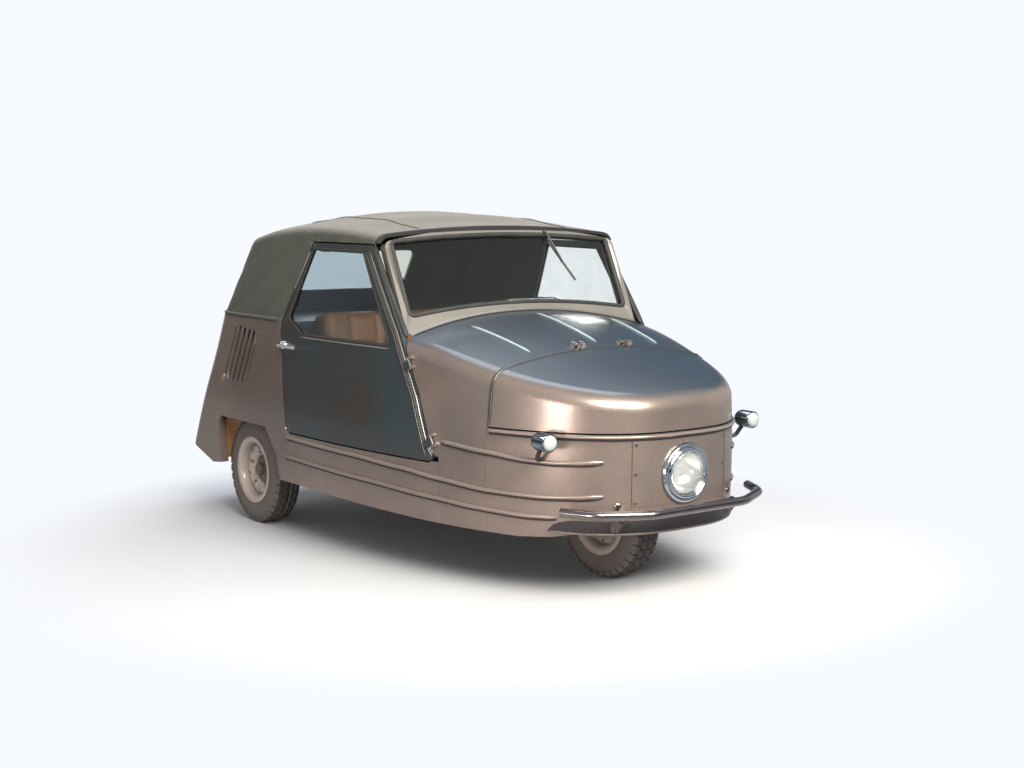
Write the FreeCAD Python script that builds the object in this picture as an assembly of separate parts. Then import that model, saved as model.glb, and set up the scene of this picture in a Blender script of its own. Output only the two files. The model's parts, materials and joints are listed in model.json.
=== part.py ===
"""Three wheeled microcar with a canvas hood: one steered wheel in front, two driven wheels behind.

Sizes are millimetres. X points forward, Y to the car's left and Z up. The origin is on the ground,
half way between the tail and the front of the bumper.
"""

import math
import os

import FreeCAD
import Part
from FreeCAD import Vector

# Overall size
LENGTH = 2650.0
WIDTH = 1388.0
HEIGHT = 1330.0
WHEELBASE = 1600.0
REAR_TRACK = 1150.0

# Plan of the body: straight flanks, then a taper to a blunt nose
BODY_WIDTH = 1360.0
BUMPER_REACH = 95.0
TAIL_X = -LENGTH / 2
NOSE_X = LENGTH / 2 - BUMPER_REACH
TAPER_X = -410.0
TAPER_POWER = 2.2
FLANK_POWER = 2.8
TAIL_CORNER = 110.0
NOSE_STEPS = [i / 14 for i in range(-14, 15)]

# Heights of the body
SILL_Z = 232.0
SKIRT_Z = 300.0
WAIST_Z = 500.0
BELT_Z = 876.0
LEAN = 0.0442
LEAN_POWER = 1.154
TUCK = 12.0
TUCK_DEPTH = 255.0
MOULDING_Z = 592.0

# Wall thicknesses
SKIN = 16.0
DOOR_THICK = 35.0
CANVAS = 7.0
PANEL_GAP = 6.0

# Seams between fixed panels, and the gap round a lid
SEAM_X = 576.0
SEAM = 1.0
TAIL_PANEL_X = -1000.0
TAIL_HALF = 520.0
LID_GAP = 5.0
INNER = DOOR_THICK + 1

# Engine lid in the tail
LID_HALF = 430.0
LID_LOW = 410.0
LID_HIGH = 820.0
LID_HINGE_Y = 260.0

# Screwed panel round the headlamp
FRONT_PANEL_HALF = 218.0
FRONT_PANEL_LOW = 340.0
FRONT_PANEL_HIGH = 579.5
PANEL_SEAM = 0.6

# Louvres of the rear quarters in side view
LOUVRE_OPENING = [(-886, 846), (-676, 823), (-752, 606), (-962, 609)]
LOUVRE_FOOT = (-960.0, 608.0)
LOUVRE_TOP = (-884.0, 846.0)
LOUVRE_WIDTH = 209.0
LOUVRE_COUNT = 5
LOUVRE_BAR = 9.0

# Wheel arch and lower edge of the body in side view
ARCH = [(-1000, 100), (-1000, 443), (-567, 443), (-480, 342), (-465, 241), (-465, 100)]
ARCH_CORNER = 22.0
SKIRT = [
    (-1500, -50),
    (-1500, SKIRT_Z + 40),
    (TAIL_X + 5, SKIRT_Z),
    (-1081, 222),
    (-1000, SILL_Z),
    (-312, SILL_Z + 4),
    (520, 223),
    (900, 222),
    (1014, SILL_Z),
    (1150, 262),
    (1300, 330),
    (1300, -50),
]

# Wheels
TYRE_R = 228.0
TYRE_W = 116.0
RIM_R = 128.0
RIM_W = 96.0
WHEEL_HOLES = 10
WHEEL_HOLE_R = 7.0
WHEEL_HOLE_RING = 92.0
FRONT_BORE = 9.3
REAR_BORE = 14.3
REAR_AXLE_X = -770.0
FRONT_AXLE_X = REAR_AXLE_X + WHEELBASE

# Bonnet line on the centre plane, as (x, z, radius of the crown across the car)
BONNET_LINE = [
    (150, 957, 2500),
    (285, 953, 2400),
    (400, 942, 2250),
    (782, 851, 2000),
    (1010, 786, 2000),
    (1260, 694, 2000),
]
SHOULDER_R = 74.0
LID_REAR_X = 782.0

# Door outline in side view
DOOR_SILL_Z = 446.0
DOOR_REAR_X = -376.0
DOOR_BELT_X = -492.0
DOOR_TOP_REAR_X = -292.0
DOOR_TOP_Z = 1208.0
DOOR_TOP_FRONT_X = 118.0
DOOR_FRONT_X = 563.0
DOOR_CORNER = 26.0
WINDOW_SILL_Z = 842.0

# Windscreen, a flat glass leaning back
SCREEN_BASE = (288.0, 945.0)
SCREEN_TOP = (162.0, 1213.0)
SCREEN_HALF = 534.0
SCREEN_OUTER = 560.0
SCREEN_FRAME = 24.0
GLASS = 5.0

# Canvas hood
HOOD_LINE = [
    (400, 1216, 5200),
    (150, 1274, 5200),
    (60, 1292, 4200),
    (-250, HEIGHT, 2700),
    (-600, 1319, 2500),
    (-880, 1262, 2600),
    (-1200, 1120, 2600),
]
HOOD_REAR_X = -850.0
HOOD_FRONT_X = 141.5
HOOD_LOW = 876.3
HOOD_EDGE_R = 46.0
HOOD_CORNER = 18.0
BOW_STATIONS = [-120.0, -420.0, -700.0]
BOW_WIDTH = 20.0
REAR_WINDOW = (290.0, 970.0, 1150.0)

# Hinges, as half lengths and radii
HINGE_HALF = 24.0
KNUCKLE_HALF = 12.0
KNUCKLE_R = 5.5
PIN_R = 3.0
BONNET_HINGE = (783.0, 110.0, 861.0)
DOOR_HINGE_LOW = (578.0, 470.0)
DOOR_HINGE_HIGH = (380.0, 840.0)

# Steering: the column and the fork turn about parallel axes
RAKE = math.radians(25.0)
FORK_OFFSET = 30.0
COLUMN_Y = 200.0
HANDLEBAR = (100.0, 975.0)
STEER_ARM = 90.0
ARM_ALONG = 474.0
ARM_ANGLE = math.radians(32.3)
HEAD_LOW = 292.0
HEAD_HIGH = 452.0
EYE_R = 17.0
BAR_R = 11.0
GRIP_R = 17.0
GRIP_LENGTH = 100.0

# Frame
RAIL_R = 21.0
RAIL_Y = 360.0
RAIL_Z = 213.0
HORN_Y = 262.0
BUMPER_Z = 334.0
BUMPER_R = 16.0
CROSS_TUBES = [-1040.0, -560.0, 120.0, 470.0]
PIVOT_X = REAR_AXLE_X + 290.0
ARM_Y = 446.0
DAMPER_TOP_X = REAR_AXLE_X + 92.0
FLOOR_Z = 252.0

# Engine and silencer
ENGINE = (-1000.0, -640.0, 170.0, 250.0, 560.0)
SILENCER_Y = -150.0
SILENCER_Z = RAIL_Z - 17.3

# Lamps
LAMP_Z = 445.0
LAMP_R = 92.0
SIDE_LAMP = (1030.0, -483.0, 572.0)
SIDE_LAMP_R = 32.0
TAIL_LAMP = (-474.0, 520.0)

# Bench
SEAT_HALF = 500.0
SEAT_LOW = 371.3
SEAT_CORNER = 34.0
BACK_LEAN = 9.0

X, Y, Z = Vector(1, 0, 0), Vector(0, 1, 0), Vector(0, 0, 1)
FAR = 2000.0


def box(x0, x1, y0, y1, z0, z1):
    """A block between two corners."""
    return Part.makeBox(x1 - x0, y1 - y0, z1 - z0, Vector(x0, y0, z0))


def rod(a, b, r):
    """A round bar from point a to point b."""
    a, b = Vector(*a), Vector(*b)
    return Part.makeCylinder(r, (b - a).Length, a, b - a)


def fuse(shapes):
    """One solid from several that touch or overlap."""
    return shapes[0].multiFuse(shapes[1:]).removeSplitter() if len(shapes) > 1 else shapes[0]


def bent_tube(points, r, bend=0.0):
    """A tube that follows straight runs, with a smooth bend at each corner."""
    bend = bend or 2.2 * r
    corners = [Vector(*p) for p in points]
    edges = []
    start = corners[0]
    for before, here, after in zip(corners, corners[1:], corners[2:]):
        u, v = (before - here).normalize(), (after - here).normalize()
        half = math.acos(max(-1.0, min(1.0, u.dot(v)))) / 2
        reach = bend / math.tan(half)
        middle = here + (u + v).normalize() * (bend / math.sin(half) - bend)
        edges.append(Part.makeLine(start, here + u * reach))
        edges.append(Part.Arc(here + u * reach, middle, here + v * reach).toShape())
        start = here + v * reach
    edges.append(Part.makeLine(start, corners[-1]))
    ring = Part.Wire([Part.makeCircle(r, corners[0], corners[1] - corners[0])])
    return Part.Wire(edges).makePipeShell([ring], True, True)


def mirrored(shape):
    """The same shape on the other side of the car."""
    return shape.mirror(Vector(0, 0, 0), Y)


def outline_xz(points, radius=0.0):
    """A closed wire in the side view, with every corner rounded."""
    wire = Part.makePolygon([Vector(x, 0, z) for x, z in points] + [Vector(points[0][0], 0, points[0][1])])
    if radius <= 0:
        return wire
    edges = []
    n = len(points)
    corners = [Vector(x, 0, z) for x, z in points]
    cut = []
    for i in range(n):
        before, here, after = corners[i - 1], corners[i], corners[(i + 1) % n]
        u, v = (before - here).normalize(), (after - here).normalize()
        half = math.acos(max(-1.0, min(1.0, u.dot(v)))) / 2
        reach = radius / math.tan(half)
        middle = here + (u + v).normalize() * (radius / math.sin(half) - radius)
        cut.append((here + u * reach, middle, here + v * reach))
    for i in range(n):
        start, middle, end = cut[i]
        edges.append(Part.Arc(start, middle, end).toShape())
        edges.append(Part.makeLine(end, cut[(i + 1) % n][0]))
    return Part.Wire(edges)


def prism_y(wire, y0, y1):
    """A side view outline drawn out across the car."""
    face = Part.Face(wire)
    face.translate(Vector(0, y0, 0))
    return face.extrude(Vector(0, y1 - y0, 0))


def half_width(z):
    """Half the width of the straight flank at height z."""
    lean = LEAN * max(0.0, z - WAIST_Z) ** LEAN_POWER
    tuck = TUCK * max(0.0, (WAIST_Z - z) / TUCK_DEPTH) ** 2
    return BODY_WIDTH / 2 - lean - tuck


def flank_y(x, z, inset=0.0):
    """Half the body's width at station x and height z."""
    share = min(1.0, max(0.0, (x - TAPER_X) / (NOSE_X - inset - TAPER_X)))
    return (half_width(z) - inset) * (1 - share**TAPER_POWER) ** (1 / FLANK_POWER)


def tail_x(z):
    """Where the middle of the tail is at height z: the skirt flares out towards its foot."""
    share = (BELT_Z - z) / (BELT_Z - SKIRT_Z)
    top = TAIL_X + 240.0
    return top + (TAIL_X - top) * (0.55 * share + 0.45 * share * abs(share))


def plan_rows(z, inset, tail):
    """The body's plan at height z, moved in by inset, as rows of poles for its six stretches."""
    side = half_width(z) - inset
    nose = NOSE_X - inset
    points = []
    for step in NOSE_STEPS:
        t = math.pi / 2 * step
        x = TAPER_X + (nose - TAPER_X) * abs(math.cos(t)) ** (2 / TAPER_POWER)
        y = side * math.copysign(abs(math.sin(t)) ** (2 / FLANK_POWER), step)
        points.append(Vector(x if abs(step) < 1 else TAPER_X, y, z))
    curve = Part.BSplineCurve()
    curve.interpolate(Points=points, Parameters=NOSE_STEPS, InitialTangent=X, FinalTangent=X * -1)
    r = TAIL_CORNER - inset
    k = r * 0.4477
    rear = tail + inset
    left, right = [Vector(TAPER_X, side, z), Vector(rear + r, side, z)], []
    corner = [left[1], Vector(rear + k, side, z), Vector(rear, side - k, z), Vector(rear, side - r, z)]
    other = [Vector(p.x, -p.y, p.z) for p in reversed(corner)]
    back = [corner[3], other[0]]
    right = [other[3], Vector(TAPER_X, -side, z)]
    return [curve.getPoles(), left, corner, back, other, right]


def smooth_face(rows, levels, steps):
    """One smooth face through rows of poles, one row at each level."""
    columns = []
    for column in zip(*rows):
        curve = Part.BSplineCurve()
        curve.interpolate(Points=list(column), Parameters=levels)
        columns.append(curve)
    count = len(columns)
    degree = 1 if count == 2 else 3
    if count <= 4:
        knots, mults = [0.0, 1.0], [degree + 1, degree + 1]
    else:
        knots, mults = steps, [4] + [1] * (len(steps) - 2) + [4]
    face = Part.BSplineSurface()
    v = columns[0]
    poles = [c.getPoles() for c in columns]
    across = v.getMultiplicities(), knots, v.getKnots()
    face.buildFromPolesMultsKnots(poles, mults, *across, False, False, degree, 3)
    return face


def flank_volume(levels, inset, tail_at):
    """A closed volume between smooth flanks, with its plan taken at the given levels."""
    plans = [plan_rows(z, inset, tail_at(z)) for z in levels]
    faces = [smooth_face([plan[i] for plan in plans], levels, NOSE_STEPS) for i in range(6)]
    shapes = [face.toShape() for face in faces]
    for level in (levels[0], levels[-1]):
        rim = [face.vIso(level).toShape() for face in faces]
        shapes.append(Part.Face(Part.Wire(Part.__sortEdges__(rim))))
    closed = Part.makeCompound(shapes)
    closed.sewShape(0.001)
    return Part.Solid(closed.Shells[0])


def hinge(centre, axis, outward, reach, depth=16.0):
    """A hinge as two halves: the fixed one with its pin, and the moving one, which lies on the side that
    axis x outward points to and starts at the given reach from the pin."""
    axis = Vector(axis).normalize()
    outward = (outward - axis * outward.dot(axis)).normalize()
    back = axis.cross(outward)
    place = FreeCAD.Placement(centre, FreeCAD.Rotation(back, axis, outward, "ZYX"))
    pin = rod((0, -HINGE_HALF, 0), (0, HINGE_HALF, 0), PIN_R)
    fixed = [pin]
    for side in (-1, 1):
        low, high = sorted((side * HINGE_HALF, side * (KNUCKLE_HALF + 0.6)))
        fixed.append(rod((0, low, 0), (0, high, 0), KNUCKLE_R))
        fixed.append(box(-24, -2, low, high, -depth, 4))
    knuckle = rod((0, -KNUCKLE_HALF, 0), (0, KNUCKLE_HALF, 0), KNUCKLE_R)
    strap = box(0, reach + 20, -KNUCKLE_HALF, KNUCKLE_HALF, -1, 4)
    foot = box(reach + 1, reach + 20, -KNUCKLE_HALF, KNUCKLE_HALF, -depth, 4)
    moving = fuse([knuckle, strap, foot]).cut(rod((0, -30, 0), (0, 30, 0), PIN_R + 0.3))
    fixed = fuse(fixed)
    for half in (fixed, moving):
        half.Placement = place
    return fixed, moving


def lower_volume(inset):
    """The body's volume from under the sills to above the belt."""
    return flank_volume([190.0, 310.0, 430.0, 540.0, 700.0, 860.0, 1010.0], inset, tail_x)


def upper_volume(inset):
    """The volume inside the leaning flanks above the belt, with the hood's rear slope."""
    slope = (HOOD_REAR_X - tail_x(BELT_Z)) / (1262.0 - BELT_Z)
    levels = [740.0, 860.0, 1000.0, 1150.0, 1300.0, 1400.0]
    return flank_volume(levels, inset, lambda z: tail_x(BELT_Z) + slope * (z - BELT_Z))


def door_volume(inset):
    """The straight flanks from the sills to above the hood, for panels cut out of them."""
    levels = [190.0, 310.0, 430.0, 540.0, 700.0, 860.0, 1010.0, 1120.0, 1240.0]
    return flank_volume(levels, inset, lambda z: TAIL_X)


def crowned_volume(line, drop):
    """Everything under a crowned surface that follows a line in the centre plane."""
    reach = 760.0
    wires = []
    for x, z, crown_r in line:
        sag = crown_r - math.sqrt(crown_r**2 - reach**2)
        top = z - drop
        arc = Part.Arc(Vector(x, -reach, top - sag), Vector(x, 0, top), Vector(x, reach, top - sag)).toShape()
        a, b = Vector(x, reach, top - sag), Vector(x, reach, 50)
        c, d = Vector(x, -reach, 50), Vector(x, -reach, top - sag)
        wires.append(Part.Wire([arc, Part.makeLine(a, b), Part.makeLine(b, c), Part.makeLine(c, d)]))
    return Part.makeLoft(wires, True, False)


def front_volume(inset):
    """The front of the body, closed above by the bonnet, with a rounded shoulder all round."""
    body = lower_volume(inset).common(box(150.5, FAR, -FAR, FAR, 0, FAR))
    solid = body.common(crowned_volume(BONNET_LINE, inset)).Solids[0]
    shoulder = []
    for edge in solid.Edges:
        b = edge.BoundBox
        if b.ZMin > 600 and b.XLength > 40 and b.ZMax < 990:
            shoulder.append(edge)
    return solid.makeFillet(SHOULDER_R - inset, shoulder)


def door_outline(gap=0.0, corner=DOOR_CORNER):
    """The door in side view, grown by a gap."""
    g = gap
    points = [
        (DOOR_REAR_X - g, DOOR_SILL_Z - g),
        (DOOR_BELT_X - g, BELT_Z - 1),
        (DOOR_TOP_REAR_X - g, DOOR_TOP_Z + g),
        (DOOR_TOP_FRONT_X + g, DOOR_TOP_Z + g),
        (330 + g, 904),
        (465 + g, 675),
        (DOOR_FRONT_X + g, DOOR_SILL_Z - g),
    ]
    return outline_xz(points, corner + g)


def window_outline(margin=0.0):
    """The door's window in side view."""
    m = margin
    points = [
        (-322 - m, WINDOW_SILL_Z - m),
        (-440 - m, 902),
        (-294 - m, 1184 + m),
        (62 + m, 1181 + m),
        (284 + m, WINDOW_SILL_Z - m),
    ]
    return outline_xz(points, 19.0)


def louvre_bars():
    """The upright slanted bars across the louvred opening of the right side."""
    bars = []
    slope = (LOUVRE_TOP[0] - LOUVRE_FOOT[0]) / (LOUVRE_TOP[1] - LOUVRE_FOOT[1])
    for i in range(LOUVRE_COUNT):
        shift = LOUVRE_WIDTH * (i + 0.5) / LOUVRE_COUNT
        foot = (LOUVRE_FOOT[0] + shift, LOUVRE_FOOT[1] - 12)
        top = (LOUVRE_TOP[0] + shift + slope * 12, LOUVRE_TOP[1] + 12 - 8 * shift / 100)
        low = [(foot[0] - LOUVRE_BAR, foot[1]), (foot[0] + LOUVRE_BAR, foot[1])]
        high = [(top[0] + LOUVRE_BAR, top[1]), (top[0] - LOUVRE_BAR, top[1])]
        bars.append(prism_y(outline_xz(low + high), -FAR, 0))
    return Part.makeCompound(bars)


def side_panel(wall):
    """The right flank from the tail corner to the cowl, with wheel arch, sill and louvres."""
    side = wall.common(box(-FAR, SEAM_X, -FAR, 0, 0, BELT_Z))
    side = side.cut(box(-FAR, TAIL_PANEL_X, -TAIL_HALF, FAR, -FAR, FAR))
    side = side.cut(prism_y(outline_xz(SKIRT), -FAR, 0))
    side = side.cut(prism_y(door_outline(PANEL_GAP), -FAR, 0))
    side = side.cut(prism_y(outline_xz(ARCH, ARCH_CORNER), -FAR, 0))
    opening = prism_y(outline_xz(LOUVRE_OPENING, 14.0), -FAR, 0)
    bars = lower_volume(1.0).cut(lower_volume(13.0)).common(louvre_bars()).common(opening)
    side = side.cut(opening)
    side = side.cut(box(DOOR_REAR_X, FAR, -FAR, 0, DOOR_SILL_Z + 1, FAR))
    return fuse([side] + bars.Solids)


def tail_panel(wall):
    """The sloping tail between the two flanks, with the engine lid's opening."""
    tail = wall.common(box(-FAR, TAIL_PANEL_X, -TAIL_HALF + SEAM, TAIL_HALF - SEAM, 0, BELT_Z))
    tail = tail.cut(prism_y(outline_xz(SKIRT), -FAR, FAR))
    half, low, high = LID_HALF + LID_GAP, LID_LOW - LID_GAP, LID_HIGH + LID_GAP
    tail = tail.cut(box(-FAR, -900, -half, half, low, high))
    return fuse([tail] + [fixed for fixed, moving in engine_lid_hinges()])


def engine_lid_hinges():
    """The two hinges along the top of the engine lid."""
    axis_z = LID_HIGH + 4
    x = tail_x(LID_HIGH + 2) - 6
    return [hinge(Vector(x, y, axis_z), Y * -1, Vector(-1, 0, 0.23), 4) for y in (-LID_HINGE_Y, LID_HINGE_Y)]


def engine_lid(wall):
    """The lid over the engine, hinged at its top edge."""
    lid = wall.common(box(-FAR, TAIL_PANEL_X, -LID_HALF, LID_HALF, LID_LOW, LID_HIGH))
    return fuse([lid] + [moving for fixed, moving in engine_lid_hinges()])


def rear_deck():
    """The shelf between the tail and the canvas, over the engine."""
    plan = lower_volume(INNER)
    return plan.common(box(-FAR, -526, -FAR, FAR, BELT_Z - 22, BELT_Z))


def cowl(front):
    """The fixed front of the body, from the doors to the bonnet lid."""
    part = front.common(box(0, LID_REAR_X, -FAR, FAR, 0, FAR))
    part = part.cut(prism_y(outline_xz(SKIRT), -FAR, FAR))
    part = part.cut(prism_y(door_outline(PANEL_GAP), -FAR, FAR))
    part = part.cut(box(0, SEAM_X + SEAM, -FAR, FAR, 0, DOOR_SILL_Z + 20))
    part = part.cut(box(-FAR, SCREEN_BASE[0] - 60, -FAR, FAR, 0, FAR))
    fixed = [halves[0] for halves in bonnet_hinges() + door_hinges()]
    fixed += [mirrored(halves[0]) for halves in door_hinges()]
    return fuse([part] + fixed)


def bonnet_hinges():
    """The two hinges along the rear edge of the bonnet lid."""
    x, y, z = BONNET_HINGE
    return [hinge(Vector(x, y * side, z), Y, Vector(0.27, 0, 1), 4, 20) for side in (-1, 1)]


def door_hinges():
    """The two hinges down the front edge of the right door."""
    low = Vector(DOOR_HINGE_LOW[0], -flank_y(575, DOOR_HINGE_LOW[1]) - 11, DOOR_HINGE_LOW[1])
    high = Vector(DOOR_HINGE_HIGH[0], -flank_y(*DOOR_HINGE_HIGH) - 9, DOOR_HINGE_HIGH[1])
    line = high - low
    lower = hinge(low + line * 0.14, line * -1, Vector(0.22, -1, 0.08), 21, 20)
    return [lower, hinge(low + line * 0.86, line * -1, Vector(0.15, -1, 0.12), 12, 20)]


def nose_shell(skin):
    """The lower nose, below the moulding, on both sides of the front panel."""
    part = skin.common(box(LID_REAR_X + SEAM, FAR, -FAR, FAR, 0, MOULDING_Z))
    part = part.cut(prism_y(outline_xz(SKIRT), -FAR, FAR))
    half = FRONT_PANEL_HALF + PANEL_SEAM
    part = part.cut(box(1000, FAR, -half, half, FRONT_PANEL_LOW - PANEL_SEAM, FRONT_PANEL_HIGH + 0.5))
    for side in (-1, 1):
        part = part.cut(bent_tube(rail_line(side), RAIL_R + 0.5))
    return part


def front_panel(skin):
    """The screwed panel that carries the headlamp."""
    half = FRONT_PANEL_HALF
    part = skin.common(box(1000, FAR, -half, half, FRONT_PANEL_LOW, FRONT_PANEL_HIGH))
    return part.cut(rod((900, 0, LAMP_Z), (1400, 0, LAMP_Z), LAMP_R + 2.3))


def bonnet_lid(skin):
    """The front lid above the moulding, hinged along its rear edge."""
    lid = skin.common(box(LID_REAR_X + LID_GAP, FAR, -FAR, FAR, MOULDING_Z + LID_GAP, FAR))
    return fuse([lid] + [moving for fixed, moving in bonnet_hinges()])


def moulding():
    """The raised strip around the nose under the lid."""
    band = lower_volume(-7.0).cut(lower_volume(4.0))
    return band.common(box(800, FAR, -FAR, FAR, MOULDING_Z - 12, MOULDING_Z))


def door_panel():
    """The right door: a thick lower part and a slim frame round its window."""
    wall = door_volume(0.0).cut(door_volume(DOOR_THICK))
    door = wall.common(prism_y(door_outline(), -FAR, 0))
    slim = door_volume(20.0).common(box(-FAR, FAR, -FAR, 0, WINDOW_SILL_Z - 10, FAR))
    door = door.cut(slim)
    door = door.cut(prism_y(window_outline(), -FAR, 0))
    return fuse([door] + [moving for fixed, moving in door_hinges()])


def door_glass():
    """The window of the right door."""
    pane = prism_y(window_outline(-0.3), -BODY_WIDTH, -BODY_WIDTH / 3).common(door_volume(7.0))
    return pane.cut(door_volume(7.0 + GLASS))


def door_handle():
    """The lever handle of the right door."""
    x, z = -440.0, 792.0
    y = -flank_y(x, z)
    reach = WIDTH / 2 - 6.5 + y
    rose = rod((x, y + 6, z), (x, y - 15, z), 17)
    bends = [(x, y - 10, z), (x, y - reach, z), (x + 70, y - reach, z), (x + 132, y - reach + 9, z - 2)]
    return fuse([rose, bent_tube(bends, 6.5)]).cut(door_volume(-0.3))


def hood_volume(inset, front=HOOD_FRONT_X):
    """The volume under the canvas, with its rolled edges."""
    solid = upper_volume(inset).common(crowned_volume(HOOD_LINE, inset))
    solid = solid.common(box(HOOD_REAR_X - 300, front, -FAR, FAR, 700, FAR)).Solids[0]
    rolled = []
    for edge in solid.Edges:
        b = edge.BoundBox
        if b.ZMin > 1150 and b.XLength > 300:
            rolled.append(edge)
    return solid.makeFillet(HOOD_EDGE_R - inset, rolled)


def roof_canvas():
    """The hood: one skin of canvas from the belt over the roof, with a window in its back."""
    skin = hood_volume(0.0).cut(hood_volume(CANVAS))
    skin = skin.common(box(-FAR, 136, -FAR, FAR, HOOD_LOW, FAR))
    skin = skin.cut(prism_y(door_outline(PANEL_GAP, HOOD_CORNER), -FAR, FAR))
    return skin.cut(rear_window_block(0.0))


def rear_window_block(margin):
    """The opening of the window in the hood's back."""
    half, low, high = REAR_WINDOW
    block = box(-FAR, -700, -half - margin, half + margin, low - margin, high + margin)
    upright = [e for e in block.Edges if e.BoundBox.XLength > 100]
    return block.makeFillet(30, upright)


def rear_window():
    """The clear sheet in the hood's back."""
    skin = hood_volume(0.0).cut(hood_volume(CANVAS))
    return skin.common(rear_window_block(-0.3))


def roof_bows():
    """The hoops that carry the canvas."""
    arches = []
    tube = hood_volume(CANVAS + 1.0).cut(hood_volume(CANVAS + 1.0 + BOW_WIDTH))
    for x in BOW_STATIONS:
        arch = tube.common(box(x - BOW_WIDTH / 2, x + BOW_WIDTH / 2, -FAR, FAR, 1232, FAR))
        arches.append(arch.Solids[0])
    return Part.makeCompound(arches)


def screen_frame_axes():
    """The windscreen's base point, its upward direction and its forward normal."""
    base = Vector(SCREEN_BASE[0], 0, SCREEN_BASE[1])
    up = (Vector(SCREEN_TOP[0], 0, SCREEN_TOP[1]) - base).normalize()
    return base, up, Vector(up.z, 0, -up.x)


def screen_solid(half, low, high, low_sag, high_sag, radius, thick):
    """A rounded plate in the plane of the windscreen, with crowned lower and upper edges."""
    def crown(level, sag, y):
        return level - sag * (y / SCREEN_HALF) ** 2

    steps = [i / 6 for i in range(-6, 7)]
    low_edge = [Vector(half * s, 0, crown(low, low_sag, half * s)) for s in steps]
    high_edge = [Vector(-half * s, 0, crown(high, high_sag, half * s)) for s in steps]
    lines = []
    for edge in (low_edge, high_edge):
        curve = Part.BSplineCurve()
        curve.interpolate(Points=edge, Parameters=steps)
        lines.append(curve.toShape())
    lines.append(Part.makeLine(low_edge[-1], high_edge[0]))
    lines.append(Part.makeLine(high_edge[-1], low_edge[0]))
    face = Part.Face(Part.Wire(Part.__sortEdges__(lines)))
    plate = face.extrude(Vector(0, thick, 0))
    corners = [e for e in plate.Edges if e.BoundBox.YLength > thick * 0.9 and e.BoundBox.XLength < 1]
    plate = plate.makeFillet(radius, corners)
    plate.translate(Vector(0, -thick / 2, 0))
    plate.rotate(Vector(0, 0, 0), Z, 90)
    base, up, normal = screen_frame_axes()
    plate.rotate(Vector(0, 0, 0), Y, -math.degrees(math.atan2(-up.x, up.z)))
    plate.translate(base)
    return plate


def windscreen_frame():
    """The frame of the windscreen, standing on the cowl, with a post behind each side."""
    outer = screen_solid(SCREEN_OUTER, -110, 357, 0, 52, 34, SCREEN_FRAME)
    hole = screen_solid(SCREEN_HALF, 33, 333, 42, 27, 26, SCREEN_FRAME * 3)
    frame = outer.cut(hole)
    base, up, normal = screen_frame_axes()
    posts = []
    for side in (-1, 1):
        post = box(-34, -SCREEN_FRAME / 2 + 1, 530, 551, -110, 300)
        if side < 0:
            post = mirrored(post)
        post.rotate(Vector(0, 0, 0), Y, -math.degrees(math.atan2(-up.x, up.z)))
        post.translate(base)
        posts.append(post)
    frame = fuse([frame] + posts)
    return frame.cut(front_volume(-0.5))


def windscreen_glass():
    """The flat glass of the windscreen."""
    return screen_solid(SCREEN_HALF - 0.5, 33.5, 332.5, 42, 27, 25.5, GLASS)


def roof_header():
    """The metal rim that carries the front of the hood."""
    rim = hood_volume(-3.0, 178.5).cut(hood_volume(8.0, 179.5))
    rim = rim.common(box(136.4, 156, -FAR, FAR, 1216, FAR))
    return rim.cut(screen_solid(SCREEN_OUTER + 0.5, -110, 357.5, 0, 52, 34, SCREEN_FRAME + 1))


def wheel_tyre(x, y):
    """A tyre with a rounded tread and side walls."""
    half = TYRE_W / 2
    wall = RIM_R - 10
    right = [(wall, 0.62), (wall + 26, 0.94), (TYRE_R - 48, 1.0), (TYRE_R - 14, 0.86), (TYRE_R, 0.45)]
    profile = [(half * b, a) for a, b in right] + [(-half * b, a) for a, b in reversed(right)]
    wire = Part.makePolygon([Vector(0, a, b) for a, b in profile + profile[:1]])
    ring = Part.Face(wire).revolve(Vector(0, 0, 0), Y, 360)
    ring.translate(Vector(x, y, TYRE_R))
    return ring


def turned(profile, x, y, z):
    """A ring turned about an axle, from (radius, distance along the axle) points."""
    wire = Part.makePolygon([Vector(0, a, r) for r, a in profile + profile[:1]])
    ring = Part.Face(wire).revolve(Vector(0, 0, 0), Y, 360)
    ring.translate(Vector(x, y, z))
    return ring


def wheel_rim(x, y, out):
    """A disc wheel with a dished centre and a ring of holes; out is the side it shows to the world."""
    h = RIM_W / 2
    wall = RIM_R - 10.3
    profile = [(56, 6), (62, 16), (86, 27), (100, 27), (wall - 9, 12)]
    profile += [(wall - 7, h - 12), (wall - 3, h), (wall, h)]
    profile += [(wall, -h), (wall - 3, -h), (wall - 7, 2 - h), (wall - 13, 5)]
    profile += [(98, 22), (88, 22), (66, 10), (60, 0), (56, 0)]
    disc = turned([(r, a * out) for r, a in profile], 0, 0, 0)
    for i in range(WHEEL_HOLES):
        angle = 2 * math.pi * (i + 0.5) / WHEEL_HOLES
        centre = Vector(WHEEL_HOLE_RING * math.cos(angle), -80, WHEEL_HOLE_RING * math.sin(angle))
        disc = disc.cut(Part.makeCylinder(WHEEL_HOLE_R, 160, centre, Y))
    disc.translate(Vector(x, y, TYRE_R))
    return disc


def wheel_hub(x, y, out, bore, depth):
    """The drum and hub that carry a wheel, with the bore for its axle."""
    drum = [(bore, -46), (40, -46), (44, -40), (64, -38), (64, -4), (59.6, -0.4)]
    drum += [(55.6, -0.4), (55.6, 8), (26, 10), (24, 34)]
    if depth < 30:
        drum += [(0, 34), (0, depth), (bore, depth)]
    else:
        drum += [(bore, 34)]
    return turned([(r, a * out) for r, a in drum], x, y, TYRE_R)


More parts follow.
